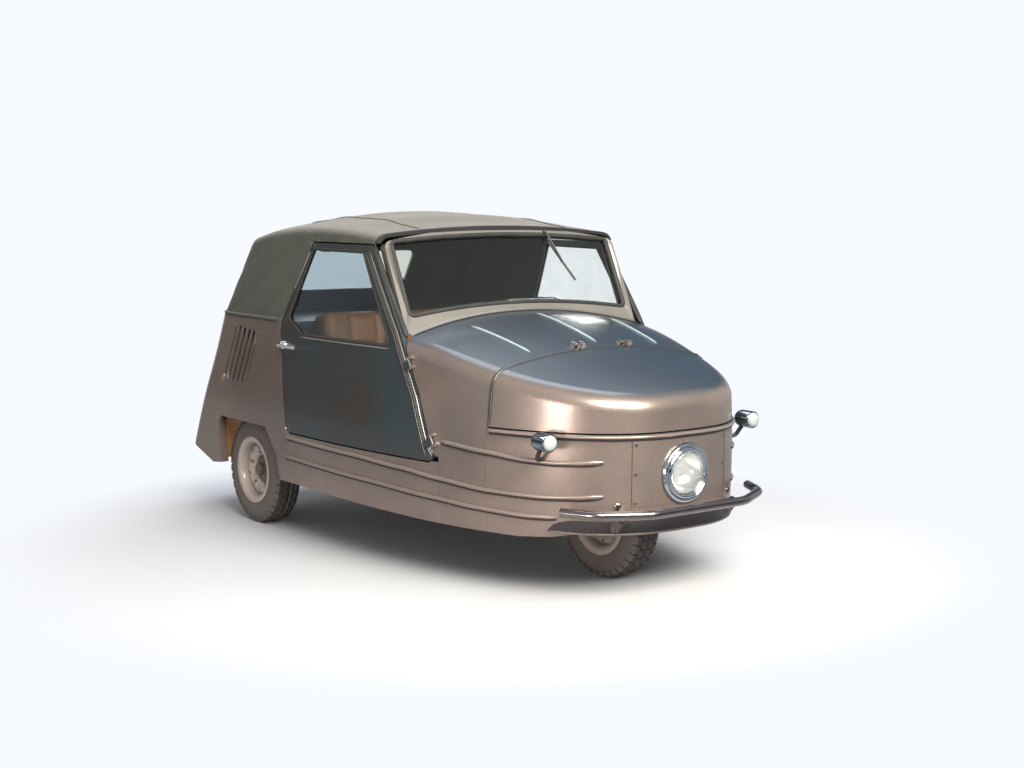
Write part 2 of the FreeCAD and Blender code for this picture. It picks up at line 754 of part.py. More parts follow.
def steer_point(along, forward=0.0, side=0.0):
    """A point given by its distance along the fork's steering axis, in front of it and beside it."""
    c, s = math.cos(RAKE), math.sin(RAKE)
    foot = Vector(FRONT_AXLE_X - FORK_OFFSET * c, 0, TYRE_R - FORK_OFFSET * s)
    return foot + Vector(-s, 0, c) * along + Vector(c, 0, s) * forward + Y * side


def column_point(along, forward=0.0, side=0.0):
    """A point given by its distance along the column, level with the same distance along the fork's axis."""
    c, s = math.cos(RAKE), math.sin(RAKE)
    top = Vector(HANDLEBAR[0], COLUMN_Y, HANDLEBAR[1])
    axis = Vector(-s, 0, c)
    here = top + axis * (along - (top - steer_point(0)).dot(axis))
    return here + Vector(c, 0, s) * forward + Y * side


def arm_tip(point, along, lift=0.0):
    """The eye of a steering arm at the given height along its shaft."""
    return point(along + lift, STEER_ARM * math.sin(ARM_ANGLE), STEER_ARM * math.cos(ARM_ANGLE))


def front_fork():
    """The fork that carries the front wheel, with its steerer and steering arm."""
    pieces = [rod(steer_point(250), steer_point(ARM_ALONG + 22), 15)]
    pieces += [rod(steer_point(258, 0, -88), steer_point(258, 0, 88), 20)]
    for side in (-1, 1):
        y = 78 * side
        pieces.append(rod(steer_point(256, 0, y), steer_point(-20, 0, y), 15))
        pieces.append(rod(steer_point(0, 0, y), steer_point(0, FORK_OFFSET, y), 13))
        pieces.append(rod((FRONT_AXLE_X, y - 16, TYRE_R), (FRONT_AXLE_X, y + 16, TYRE_R), 24))
    pieces.append(rod((FRONT_AXLE_X, -82, TYRE_R), (FRONT_AXLE_X, 82, TYRE_R), 9))
    pieces.append(rod(steer_point(ARM_ALONG), arm_tip(steer_point, ARM_ALONG), 9))
    pieces.append(rod(arm_tip(steer_point, ARM_ALONG, -5), arm_tip(steer_point, ARM_ALONG, 26), 8))
    return fuse(pieces)


def steering_column():
    """The column with its handlebar and its drop arm."""
    high = handlebar_level()
    pieces = [rod(column_point(ARM_ALONG - 12), column_point(high), 12)]
    pieces.append(rod(column_point(ARM_ALONG), arm_tip(column_point, ARM_ALONG), 9))
    pieces.append(rod(arm_tip(column_point, ARM_ALONG, -5), arm_tip(column_point, ARM_ALONG, 26), 8))
    bar = [
        column_point(high - 6, -120, -205),
        column_point(high - 2, -40, -190),
        column_point(high, 0, -110),
        column_point(high, 0, 110),
        column_point(high - 2, -40, 190),
        column_point(high - 6, -120, 205),
    ]
    pieces.append(bent_tube(bar, BAR_R))
    return fuse(pieces)


def handlebar_level():
    """How far up the column the handlebar is."""
    return (Vector(HANDLEBAR[0], COLUMN_Y, HANDLEBAR[1]) - column_point(0)).Length


def handlebar_grips():
    """The two grips of the handlebar."""
    high = handlebar_level()
    grips = []
    for side in (-1, 1):
        bend, end = column_point(high - 2, -40, 190 * side), column_point(high - 6, -120, 205 * side)
        along = (end - bend).normalize()
        start = bend + along * 16
        bore = rod(start - along, start + along * (GRIP_LENGTH - 16), BAR_R + 0.3)
        grip = rod(start, start + along * GRIP_LENGTH, GRIP_R).cut(bore)
        grips.append(grip.cut(Part.makeSphere(BAR_R + 0.3, end)))
    return Part.makeCompound(grips)


def drag_link():
    """The rod between the column's arm and the fork's arm, open at its fork end."""
    a = arm_tip(column_point, ARM_ALONG, 17)
    b = arm_tip(steer_point, ARM_ALONG, 17)
    axis = (steer_point(1) - steer_point(0)).normalize()
    eyes = [Part.makeCylinder(EYE_R, 14, centre - axis * 7, axis) for centre in (a, b)]
    link = fuse([rod(a, b, 6.5)] + eyes)
    for centre in (a, b):
        link = link.cut(Part.makeCylinder(8.4, 60, centre - axis * 30, axis))
    return link


def rail_line(side):
    """The corners of a side rail, from the tail to the bumper's stay."""
    y, horn = RAIL_Y * side, HORN_Y * side
    rear = [(-1090, y, RAIL_Z + 60), (-940, y, RAIL_Z), (470, y, RAIL_Z)]
    return rear + [(600, horn, RAIL_Z), (1140, horn, RAIL_Z + 30), (1196, horn, BUMPER_Z - 30)]


def head_stays(r):
    """The two tubes from the rails up to the steering head."""
    middle = steer_point((HEAD_LOW + HEAD_HIGH) / 2)
    return [rod((470, RAIL_Y * side, RAIL_Z), middle, r) for side in (-1, 1)]


def damper_tower(r):
    """The hoop over the engine that carries the tops of the dampers."""
    foot, top = Vector(DAMPER_TOP_X + 2, RAIL_Y, RAIL_Z), Vector(DAMPER_TOP_X + 2, ARM_Y, 590)
    left = [foot, top]
    right = [Vector(p.x, -p.y, p.z) for p in left]
    hoop = [rod(left[0], left[1], r), rod(left[1], right[1], r), rod(right[0], right[1], r)]
    return fuse(hoop + [Part.makeSphere(r, p) for p in (left[1], right[1])])


def chassis_frame():
    """Tubular side rails with cross tubes, front horns and the steering head."""
    pieces = [bent_tube(rail_line(side), RAIL_R) for side in (-1, 1)]
    pieces += head_stays(16)
    for x in CROSS_TUBES:
        z = RAIL_Z + (40 if x < TAIL_PANEL_X else 0)
        pieces.append(rod((x, -RAIL_Y, z), (x, RAIL_Y, z), 17))
    pieces.append(rod((PIVOT_X, -ARM_Y - 16, RAIL_Z), (PIVOT_X, ARM_Y + 16, RAIL_Z), 18))
    pieces.append(damper_tower(12))
    frame = fuse(pieces)
    head = rod(steer_point(HEAD_LOW), steer_point(HEAD_HIGH), 30)
    frame = fuse([frame, head])
    return frame.cut(rod(steer_point(HEAD_LOW - 5), steer_point(HEAD_HIGH + 5), 16))


def floor_pan():
    """The flat floor of the cabin, between the two bulkheads."""
    plan = lower_volume(DOOR_THICK + 2)
    floor = plan.common(box(-470, 548, -FAR, FAR, FLOOR_Z - 12, FLOOR_Z))
    for stay in head_stays(16.5):
        floor = floor.cut(stay)
    return floor


def front_bulkhead():
    """The wall in front of the driver's feet, open round the steering head."""
    inside = front_volume(INNER)
    front = inside.common(box(549, 561, -FAR, FAR, 240, FAR))
    front = front.cut(box(500, 600, -80, 330, 500, 680))
    for stay in head_stays(16.5):
        front = front.cut(stay)
    return front


def rear_bulkhead():
    """The wall between the seat and the engine."""
    foot = FLOOR_Z + 0.3
    head = BELT_Z - 24
    side_view = [(-486, foot), (-474, foot), (-474, 620), (-512, head), (-524, head), (-486, 620)]
    return lower_volume(INNER).common(prism_y(outline_xz(side_view), -FAR, FAR))


def wheel_house():
    """The inner arch round the right rear wheel."""
    x0, x1, z1 = -1008, -488, 462
    y0, y1 = -flank_y(-700, 400, INNER), -488
    outer = box(x0, x1, y0, y1, 250, z1)
    inner = box(x0 + 4, x1 + 2, y0 - 5, y1 - 4, 200, z1 - 4)
    return outer.cut(inner).common(lower_volume(DOOR_THICK + 0.4))


def trailing_arm():
    """The arm that carries the right rear wheel, with its stub axle."""
    inner, outer = 16 - ARM_Y, -16 - ARM_Y
    axle = (REAR_AXLE_X, -ARM_Y, TYRE_R)
    pieces = [rod((PIVOT_X, inner, RAIL_Z), (PIVOT_X, outer, RAIL_Z), 26.5)]
    pieces.append(bent_tube([(PIVOT_X, -ARM_Y, RAIL_Z), (REAR_AXLE_X + 60, -ARM_Y, RAIL_Z + 6), axle], 17))
    pieces.append(rod((REAR_AXLE_X, outer, TYRE_R), (REAR_AXLE_X, inner, TYRE_R), 34))
    pieces.append(rod(axle, (REAR_AXLE_X, 9 - REAR_TRACK / 2, TYRE_R), 14))
    return fuse(pieces).cut(rod((PIVOT_X, inner + 10, RAIL_Z), (PIVOT_X, outer - 8, RAIL_Z), 18.3))


def rear_damper():
    """The damper above the right trailing arm."""
    low = (REAR_AXLE_X + 16, -ARM_Y, TYRE_R + 22)
    mid = (REAR_AXLE_X + 58, -ARM_Y, 430)
    high = (DAMPER_TOP_X, -ARM_Y, 580)
    damper = fuse([rod(low, mid, 22), rod(mid, high, 11)])
    damper = damper.cut(rod((REAR_AXLE_X, -ARM_Y - 24, TYRE_R), (REAR_AXLE_X, 26 - ARM_Y, TYRE_R), 34.3))
    return damper.cut(damper_tower(12.3))


def engine_block():
    """The engine and gearbox as one plain block."""
    rear, front, half, low, high = ENGINE
    return box(rear, front, -half, half, low, high)


def drive_shafts():
    """The shafts from the gearbox to the rear wheels."""
    right = rod((REAR_AXLE_X, -160, TYRE_R + 52), (REAR_AXLE_X, -425, TYRE_R + 10), 13)
    rear, front, half, low, high = ENGINE
    right = right.cut(box(rear, front, -half - 0.3, half + 0.3, low - 50, high))
    return Part.makeCompound([right, mirrored(right)])


def exhaust():
    """The silencer and its tail pipe under the engine."""
    y, z = SILENCER_Y, SILENCER_Z
    can = rod((-1060, y, z), (-780, y, z), 40)
    pipe = rod((-1058, y, z), (-1240, y, z), 16)
    return fuse([can, pipe])


def seat_cushion():
    """The bench's cushion."""
    return rounded_block(-420, 120, -SEAT_HALF, SEAT_HALF, SEAT_LOW, 492, SEAT_CORNER)


def seat_back():
    """The bench's back."""
    back = rounded_block(-60, 70, -SEAT_HALF, SEAT_HALF, 0, 430, SEAT_CORNER)
    back.rotate(Vector(0, 0, 0), Y, -BACK_LEAN)
    back.translate(Vector(-385, 0, 492.9))
    return back


def rounded_block(x0, x1, y0, y1, z0, z1, r):
    """A block with all its edges rounded."""
    block = box(x0, x1, y0, y1, z0, z1)
    return block.makeFillet(r, block.Edges)


def seat_frame():
    """The tubes that carry the bench above the floor."""
    rear, front, half, foot, top = -380, 60, 420, FLOOR_Z + 0.3, 360
    legs = []
    for y in (-half, half):
        legs.append(bent_tube([(rear, y, foot), (rear, y, top), (front, y, top), (front, y, foot)], 11))
    for x in (rear, front):
        legs.append(rod((x, -half, top), (x, half, top), 11))
    return fuse(legs)


def dashboard():
    """The panel under the windscreen."""
    return front_volume(INNER).common(box(300, 322, -FAR, FAR, 770, 900))


def headlamp_bezel():
    """The bright ring round the headlamp."""
    x = NOSE_X
    profile = [(80, x - 26), (LAMP_R + 2, x - 2), (LAMP_R, x + 12), (84, x + 20), (76, x + 16), (74, x - 26)]
    ring = Part.makePolygon([Vector(a, 0, LAMP_Z + r) for r, a in profile + profile[:1]])
    return Part.Face(ring).revolve(Vector(0, 0, LAMP_Z), X, 360)


def headlamp_lens():
    """The domed glass of the headlamp."""
    reach, dome = 73.5, 150.0
    front = NOSE_X + 34
    block = rod((NOSE_X - 20, 0, LAMP_Z), (front + 10, 0, LAMP_Z), reach)
    return block.common(Part.makeSphere(dome, Vector(front - dome, 0, LAMP_Z)))


def side_lamp():
    """The small pod lamp on the right of the nose."""
    x, y, z = SIDE_LAMP
    body = rod((x, y, z), (x + 52, y, z), SIDE_LAMP_R)
    return fuse([body, Part.makeSphere(SIDE_LAMP_R, Vector(x, y, z))])


def side_lamp_lens():
    """The glass of the right side lamp."""
    x, y, z = SIDE_LAMP
    return rod((x + 52.2, y, z), (x + 66, y, z), SIDE_LAMP_R - 5)


def side_lamp_bracket():
    """The stay of the right side lamp."""
    x, y, z = SIDE_LAMP
    foot = (x - 45, 12 - flank_y(x - 45, z - 74), z - 74)
    stay = bent_tube([foot, (x - 28, y + 7, z - 66), (x + 6, y, z - 16)], 8)
    return stay.cut(lower_volume(-0.3)).cut(rod((x - 30, y, z), (x + 52, y, z), SIDE_LAMP_R + 0.3))


def tail_lamp():
    """The small lamp on the right of the tail."""
    y, z = TAIL_LAMP
    x = tail_x(z)
    return rod((x + 30, y, z), (x - 26, y, z), 30).cut(lower_volume(-0.3))


def bumper():
    """The curved bar across the nose on two stays."""
    plan = [(1098, -446), (1216, -386), (1309, -218), (1309, 218), (1216, 386), (1098, 446)]
    bar = bent_tube([(x, y, BUMPER_Z) for x, y in plan], BUMPER_R, 120.0)
    stays = []
    for side in (-1, 1):
        before, end = [Vector(*p) for p in rail_line(side)[-2:]]
        along = (end - before).normalize()
        stays.append(rod(end + along * 0.3, end + along * 18, 15))
        stays.append(rod(end + along * 12, Vector(1290, HORN_Y * side, BUMPER_Z), 9))
    return fuse([bar] + stays)


def wiper():
    """The wiper that hangs from the windscreen's upper edge."""
    base, up, normal = screen_frame_axes()
    top = base + up * 334 + normal * 12.3 + Y * 213
    knuckle = base + up * 334 + normal * 22 + Y * 213
    low = base + up * 205 + normal * 17 + Y * 262
    ends = [base + up * 290 + normal * 9 + Y * 225, base + up * 122 + normal * 9 + Y * 310]
    arm = [rod(top, knuckle, 6.5), rod(knuckle, low, 4), rod(low, low - normal * 8, 4)]
    return fuse(arm + [rod(ends[0], ends[1], 4.5)])


def hand_levers():
    """The gear and brake levers beside the driver."""
    gear = bent_tube([(160, 30, 245), (150, 30, 470), (126, 40, 560)], 9)
    knob = Part.makeSphere(20, Vector(126, 40, 566))
    brake = bent_tube([(214, -40, 245), (190, -40, 400), (146, -40, 520)], 9)
    under = box(-FAR, FAR, -FAR, FAR, 0, FLOOR_Z + 0.3)
    return Part.makeCompound([fuse([gear, knob]).cut(under), brake.cut(under)])


def both(shape):
    """A piece and its mirror image as one node."""
    return Part.makeCompound([shape, mirrored(shape)])


def fixed_body():
    """The panels of the body."""
    wall = lower_volume(0.0).cut(lower_volume(DOOR_THICK))
    front = front_volume(0.0).cut(front_volume(DOOR_THICK))
    skin = front_volume(0.0).cut(front_volume(SKIN))
    side = side_panel(wall)
    return {
        "side_panel_right": side,
        "side_panel_left": mirrored(side),
        "tail_panel": tail_panel(wall),
        "engine_lid": engine_lid(wall),
        "rear_deck": rear_deck(),
        "cowl": cowl(front),
        "nose_shell": fuse([nose_shell(skin), moulding()]),
        "front_panel": front_panel(skin),
        "bonnet_lid": bonnet_lid(skin),
        "floor_pan": floor_pan(),
        "bulkheads": Part.makeCompound([front_bulkhead(), rear_bulkhead()]),
        "wheel_houses": both(wheel_house()),
        "dashboard": dashboard(),
    }


def doors():
    """Both doors, each with its glass and handle."""
    pieces = {}
    for name, make in (("door_panel", door_panel), ("door_glass", door_glass), ("door_handle", door_handle)):
        shape = make()
        pieces[name + "_right"] = shape
        pieces[name + "_left"] = mirrored(shape)
    return pieces


def hood_and_screen():
    """The canvas hood with its bows and rear window, and the windscreen."""
    return {
        "roof_canvas": roof_canvas(),
        "rear_window": rear_window(),
        "roof_bows": roof_bows(),
        "roof_header": roof_header(),
        "windscreen_frame": windscreen_frame(),
        "windscreen_glass": windscreen_glass(),
        "wiper": wiper(),
    }


def running_gear():
    """The frame, engine, axles and wheels."""
    y = REAR_TRACK / 2
    pieces = {
        "chassis_frame": chassis_frame(),
        "engine_block": engine_block(),
        "drive_shafts": drive_shafts(),
        "exhaust": exhaust(),
        "trailing_arms": both(trailing_arm()),
        "rear_dampers": both(rear_damper()),
        "front_fork": front_fork(),
        "front_tyre": wheel_tyre(FRONT_AXLE_X, 0),
        "front_rim": wheel_rim(FRONT_AXLE_X, 0, -1),
        "front_hub": wheel_hub(FRONT_AXLE_X, 0, -1, FRONT_BORE, 60),
    }
    for name, side in (("right", -1), ("left", 1)):
        pieces["rear_tyre_" + name] = wheel_tyre(REAR_AXLE_X, y * side)
        pieces["rear_rim_" + name] = wheel_rim(REAR_AXLE_X, y * side, side)
        pieces["rear_hub_" + name] = wheel_hub(REAR_AXLE_X, y * side, side, REAR_BORE, 12)
    return pieces


def fittings():
    """Lamps, bumper, seat and controls."""
    return {
        "side_lamps": both(side_lamp()),
        "side_lamp_lenses": both(side_lamp_lens()),
        "side_lamp_brackets": both(side_lamp_bracket()),
        "tail_lamps": both(tail_lamp()),
        "headlamp_bezel": headlamp_bezel(),
        "headlamp_lens": headlamp_lens(),
        "bumper": bumper(),
        "seat_cushion": seat_cushion(),
        "seat_back": seat_back(),
        "seat_frame": seat_frame(),
        "hand_levers": hand_levers(),
        "steering_column": steering_column(),
        "handlebar_grips": handlebar_grips(),
        "drag_link": drag_link(),
    }


def build():
    """Every piece of the car by name."""
    return {**fixed_body(), **doors(), **hood_and_screen(), **running_gear(), **fittings()}


os.makedirs("parts", exist_ok=True)
for name, shape in build().items():
    shape.exportStep(f"parts/{name}.step")
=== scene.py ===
"""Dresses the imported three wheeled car: paint, canvas, padding, tyres, trim, lamps, light and camera."""

import json
import math

import bmesh
import bpy
from mathutils import Matrix, Vector
from mathutils.bvhtree import BVHTree


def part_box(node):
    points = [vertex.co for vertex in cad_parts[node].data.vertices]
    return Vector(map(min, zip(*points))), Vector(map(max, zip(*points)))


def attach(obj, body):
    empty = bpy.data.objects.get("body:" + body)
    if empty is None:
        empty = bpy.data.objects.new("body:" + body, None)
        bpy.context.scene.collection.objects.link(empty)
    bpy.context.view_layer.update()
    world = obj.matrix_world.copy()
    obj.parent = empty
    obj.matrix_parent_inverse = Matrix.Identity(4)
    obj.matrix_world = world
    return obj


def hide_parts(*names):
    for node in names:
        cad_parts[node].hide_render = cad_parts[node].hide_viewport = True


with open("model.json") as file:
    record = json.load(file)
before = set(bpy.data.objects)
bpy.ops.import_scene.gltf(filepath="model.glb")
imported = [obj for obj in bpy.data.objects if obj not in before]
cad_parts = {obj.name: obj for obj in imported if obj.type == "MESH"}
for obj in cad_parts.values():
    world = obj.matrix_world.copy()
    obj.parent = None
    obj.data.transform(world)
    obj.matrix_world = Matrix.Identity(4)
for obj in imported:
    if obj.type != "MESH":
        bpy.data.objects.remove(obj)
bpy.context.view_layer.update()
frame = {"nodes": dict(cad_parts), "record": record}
nodes = frame["nodes"]
body_of = {node: body for body, members in frame["record"]["behaviour"]["bodies"].items() for node in members}
slot_of = {part["node"]: part["material_slot"] for part in frame["record"]["subparts"]}

SIDES = ((-1, "right"), (1, "left"))

# Shape of the body, in metres, as in the solids
BODY_WIDTH = 1.36
TAPER_X = -0.410
NOSE_X = 1.230
TAPER_POWER = 2.2
FLANK_POWER = 2.8


def half_width(z):
    """Half the width of the straight flank at height z."""
    lean = 0.0442e-3 * max(0.0, z * 1000 - 500) ** 1.154
    tuck = 0.012 * max(0.0, (0.5 - z) / 0.255) ** 2
    return BODY_WIDTH / 2 - lean - tuck


def flank_y(x, z):
    """Half the body's width at station x and height z."""
    share = min(1.0, max(0.0, (x - TAPER_X) / (NOSE_X - TAPER_X)))
    return half_width(z) * (1 - share**TAPER_POWER) ** (1 / FLANK_POWER)


def nose_x(y, z):
    """The station where the front of the body has half width y."""
    share = (1 - (abs(y) / half_width(z)) ** FLANK_POWER) ** (1 / TAPER_POWER)
    return TAPER_X + (NOSE_X - TAPER_X) * share


# Work on pieces


def only(piece):
    """Makes one piece the selected and active one."""
    bpy.ops.object.select_all(action="DESELECT")
    piece.select_set(True)
    bpy.context.view_layer.objects.active = piece


def edit(piece, mode="VERT"):
    """Starts edit mode on a piece with nothing selected."""
    only(piece)
    bpy.ops.object.mode_set(mode="EDIT")
    bpy.ops.mesh.select_mode(type=mode)
    bpy.ops.mesh.select_all(action="DESELECT")


def leave_edit():
    """Goes back to object mode."""
    bpy.ops.object.mode_set(mode="OBJECT")


def settle(piece):
    """Puts a piece's place into its mesh."""
    only(piece)
    bpy.ops.object.transform_apply(location=True, rotation=True, scale=True)


def apply_modifiers(piece):
    """Applies every modifier of a piece."""
    only(piece)
    for modifier in list(piece.modifiers):
        bpy.ops.object.modifier_apply(modifier=modifier.name)


def smooth(piece, angle=30):
    """Smooth shading, with edges sharper than the angle kept crisp."""
    only(piece)
    bpy.ops.object.shade_smooth_by_angle(angle=math.radians(angle))


def fix_normals(piece, threshold=0.00001):
    """Merges doubles and turns all faces outwards."""
    edit(piece)
    bpy.ops.mesh.select_all(action="SELECT")
    bpy.ops.mesh.remove_doubles(threshold=threshold)
    bpy.ops.mesh.normals_make_consistent(inside=False)
    leave_edit()


def finish_piece(piece, material, body, replaced=(), angle=35):
    """Shading, finish, body and slot of a finished piece."""
    smooth(piece, angle)
    piece.data.materials.clear()
    piece.data.materials.append(material)
    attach(piece, body)
    if replaced:
        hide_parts(*replaced)
    return piece


def merged_copy(node, name):
    """A copy of a solid's mesh with its loose triangles joined."""
    piece = bpy.data.objects.new(name, nodes[node].data.copy())
    bpy.context.scene.collection.objects.link(piece)
    edit(piece)
    bpy.ops.mesh.select_all(action="SELECT")
    bpy.ops.mesh.remove_doubles(threshold=0.00002)
    leave_edit()
    return piece


def swept(name, path, radius, closed=False, steps=3, taper=0):
    """A round bead that follows a path of points, with its ends drawn in over some points."""
    curve = bpy.data.curves.new(name, "CURVE")
    curve.dimensions = "3D"
    curve.bevel_depth = radius
    curve.bevel_resolution = steps
    curve.use_fill_caps = not closed
    spline = curve.splines.new("POLY")
    spline.points.add(len(path) - 1)
    for point, place in zip(spline.points, path):
        point.co = (*place, 1.0)
    for i in range(taper):
        share = math.sin(math.pi / 2 * (i + 0.25) / taper)
        spline.points[i].radius = spline.points[-1 - i].radius = share
    spline.use_cyclic_u = closed
    piece = bpy.data.objects.new(name, curve)
    bpy.context.scene.collection.objects.link(piece)
    only(piece)
    bpy.ops.object.convert(target="MESH")
    piece = bpy.context.object
    fix_normals(piece)
    return piece


def bead(name, path, radius, material, body, closed=False, steps=3, taper=0, angle=60):
    """A swept bead with its finish, body and slot."""
    return finish_piece(swept(name, path, radius, closed, steps, taper), material, body, angle=angle)


def joined(name, pieces):
    """Several pieces as one."""
    bpy.ops.object.select_all(action="DESELECT")
    for piece in pieces:
        piece.select_set(True)
    bpy.context.view_layer.objects.active = pieces[0]
    bpy.ops.object.join()
    whole = bpy.context.object
    whole.name = name
    whole.data.name = name
    return whole


def blank(name):
    """A piece with nothing in its mesh yet, open in edit mode, and that mesh."""
    bpy.ops.object.select_all(action="DESELECT")
    bpy.ops.mesh.primitive_plane_add(size=0.01)
    piece = bpy.context.object
    piece.name = piece.data.name = name
    edit(piece)
    mesh = bmesh.from_edit_mesh(piece.data)
    bmesh.ops.delete(mesh, geom=mesh.verts, context="VERTS")
    return piece, mesh


def turned(name, profile, steps, centre, axis="Y"):
    """A ring turned from (distance along the axle, radius) points."""
    piece, mesh = blank(name)
    points = [mesh.verts.new((r, a, 0.0)) for a, r in profile]
    for first, second in zip(points, points[1:] + points[:1]):
        mesh.edges.new((first, second))
    bmesh.update_edit_mesh(piece.data)
    bpy.ops.mesh.select_all(action="SELECT")
    bpy.ops.mesh.spin(steps=steps, angle=math.tau, center=(0, 0, 0), axis=(0, 1, 0))
    leave_edit()
    fix_normals(piece, 0.00002)
    if axis == "X":
        piece.rotation_euler = (0, 0, -math.pi / 2)
    piece.location = centre
    settle(piece)
    return piece


def ribbon(name, rows, thickness):
    """A thin strip through rows of points, with its thickness on both sides of them."""
    strip, mesh = blank(name)
    grid = [[mesh.verts.new(place) for place in row] for row in rows]
    for first, second in zip(grid, grid[1:]):
        for j in range(len(first) - 1):
            mesh.faces.new((first[j], second[j], second[j + 1], first[j + 1]))
    bmesh.update_edit_mesh(strip.data)
    leave_edit()
    solid = strip.modifiers.new("thick", "SOLIDIFY")
    solid.thickness = thickness
    solid.offset = 0.0
    apply_modifiers(strip)
    fix_normals(strip)
    return strip


# Shader groups and materials


def group(name, inputs, outputs):
    """An empty shader group: its tree, the sockets it is given and its output node."""
    tree = bpy.data.node_groups.new(name, "ShaderNodeTree")
    kinds = {"value": "NodeSocketFloat", "colour": "NodeSocketColor"}
    for label, kind, value in inputs:
        socket = tree.interface.new_socket(label, in_out="INPUT", socket_type=kinds[kind])
        socket.default_value = value
    for label, kind in outputs:
        tree.interface.new_socket(label, in_out="OUTPUT", socket_type=kinds[kind])
    return tree, tree.nodes.new("NodeGroupInput").outputs, tree.nodes.new("NodeGroupOutput")


def fill(tree, node, sockets):
    """Sets a node's sockets to values, or links other sockets to them."""
    for key, value in sockets.items():
        socket = node.inputs[key.replace("_", " ") if isinstance(key, str) else key]
        if isinstance(value, bpy.types.NodeSocket):
            tree.links.new(value, socket)
        else:
            socket.default_value = value


def feed(tree, node, **sockets):
    """Sets or links the named sockets of a node."""
    fill(tree, node, sockets)


def add(tree, kind, sockets=(), **settings):
    """A node with its settings and its sockets."""
    node = tree.nodes.new(kind)
    for key, value in settings.items():
        setattr(node, key, value)
    fill(tree, node, dict(sockets))
    return node


def use(tree, shared, **sockets):
    """The output sockets of a shared group placed in a material with its own values."""
    return add(tree, "ShaderNodeGroup", sockets, node_tree=shared).outputs


def maths(tree, operation, first, second=0.0):
    """The result socket of one sum."""
    return add(tree, "ShaderNodeMath", {0: first, 1: second}, operation=operation).outputs[0]


def blend(tree, share, first, second):
    """The socket of two colours mixed."""
    return add(tree, "ShaderNodeMix", {0: share, 6: first, 7: second}, data_type="RGBA").outputs[2]


def ranged(tree, value, low=0.0, high=1.0, to_low=0.0, to_high=1.0, kind="LINEAR"):
    """The socket of a value moved from one range into another."""
    sockets = {"Value": value, "From Min": low, "From Max": high, "To Min": to_low, "To Max": to_high}
    return add(tree, "ShaderNodeMapRange", sockets, interpolation_type=kind).outputs["Result"]


def place_of(tree):
    """The socket with the piece's own coordinates."""
    return add(tree, "ShaderNodeTexCoord").outputs["Object"]


def split(tree, vector):
    """The X, Y and Z sockets of a vector."""
    return add(tree, "ShaderNodeSeparateXYZ", {0: vector}).outputs


def facing(tree):
    """The X, Y and Z sockets of the way that a face looks."""
    return split(tree, add(tree, "ShaderNodeTexCoord").outputs["Normal"])


def clouds(tree, scale, detail):
    """The socket of soft noise on the piece's own coordinates."""
    sockets = {"Vector": place_of(tree), "Scale": scale, "Detail": detail}
    return add(tree, "ShaderNodeTexNoise", sockets).outputs["Fac"]


def rgb(red, green, blue):
    """A colour with full alpha."""
    return (red, green, blue, 1.0)


def darker(colour, share):
    """A colour with its brightness cut to a share."""
    return rgb(*(part * share for part in colour[:3]))


WHITE = rgb(1, 1, 1)
BLACK = rgb(0, 0, 0)


def mottle_group():
    """Two colours mixed by soft cloudy noise."""
    tree, given, end = group(
        "mottle",
        [("First", "colour", WHITE), ("Second", "colour", BLACK), ("Scale", "value", 4.0),
         ("Detail", "value", 4.0), ("Low", "value", 0.4), ("High", "value", 0.6)],
        [("Colour", "colour"), ("Mask", "value")])
    mask = ranged(tree, clouds(tree, given["Scale"], given["Detail"]), given["Low"], given["High"])
    feed(tree, end, Colour=blend(tree, mask, given["First"], given["Second"]), Mask=mask)
    return tree


def road_dust_group():
    """A colour that turns to dust low down, where the road throws it."""
    tree, given, end = group(
        "road_dust",
        [("Colour", "colour", WHITE), ("Dust", "colour", BLACK), ("Low", "value", 0.2), ("High", "value", 0.5),
         ("Amount", "value", 0.4)],
        [("Colour", "colour"), ("Mask", "value")])
    height = split(tree, place_of(tree))["Z"]
    ragged = maths(tree, "ADD", height, maths(tree, "MULTIPLY", clouds(tree, 7.0, 5.0), 0.16))
    spots = ranged(tree, clouds(tree, 160.0, 2.0), 0.35, 0.65)
    thick = maths(tree, "MULTIPLY", ranged(tree, ragged, given["High"], given["Low"]), spots)
    mask = maths(tree, "MULTIPLY", thick, given["Amount"])
    feed(tree, end, Colour=blend(tree, mask, given["Colour"], given["Dust"]), Mask=mask)
    return tree


def painted_sky_light_group():
    """One colour on upright faces that turns into another on the faces that lie flat: painted sky light and painted
    sky reflection on the tops.
    """
    tree, given, end = group(
        "painted_sky_light",
        [("Upright", "colour", WHITE), ("Flat", "colour", BLACK), ("Low", "value", 0.55), ("High", "value", 0.97)],
        [("Colour", "colour")])
    share = ranged(tree, facing(tree)["Z"], given["Low"], given["High"], kind="SMOOTHSTEP")
    feed(tree, end, Colour=blend(tree, share, given["Upright"], given["Flat"]))
    return tree


def grain_group():
    """Fine pebbled grain, as a height and a crease mask."""
    tree, given, end = group(
        "grain", [("Scale", "value", 300.0), ("Soft", "value", 0.5)], [("Height", "value"), ("Mask", "value")])
    cells = add(tree, "ShaderNodeTexVoronoi", {"Vector": place_of(tree), "Scale": given["Scale"]},
                feature="DISTANCE_TO_EDGE")
    creases = ranged(tree, cells.outputs["Distance"], 0.0, 0.25)
    soft = maths(tree, "MULTIPLY", clouds(tree, given["Scale"], 3.0), given["Soft"])
    feed(tree, end, Height=maths(tree, "ADD", creases, soft), Mask=creases)
    return tree


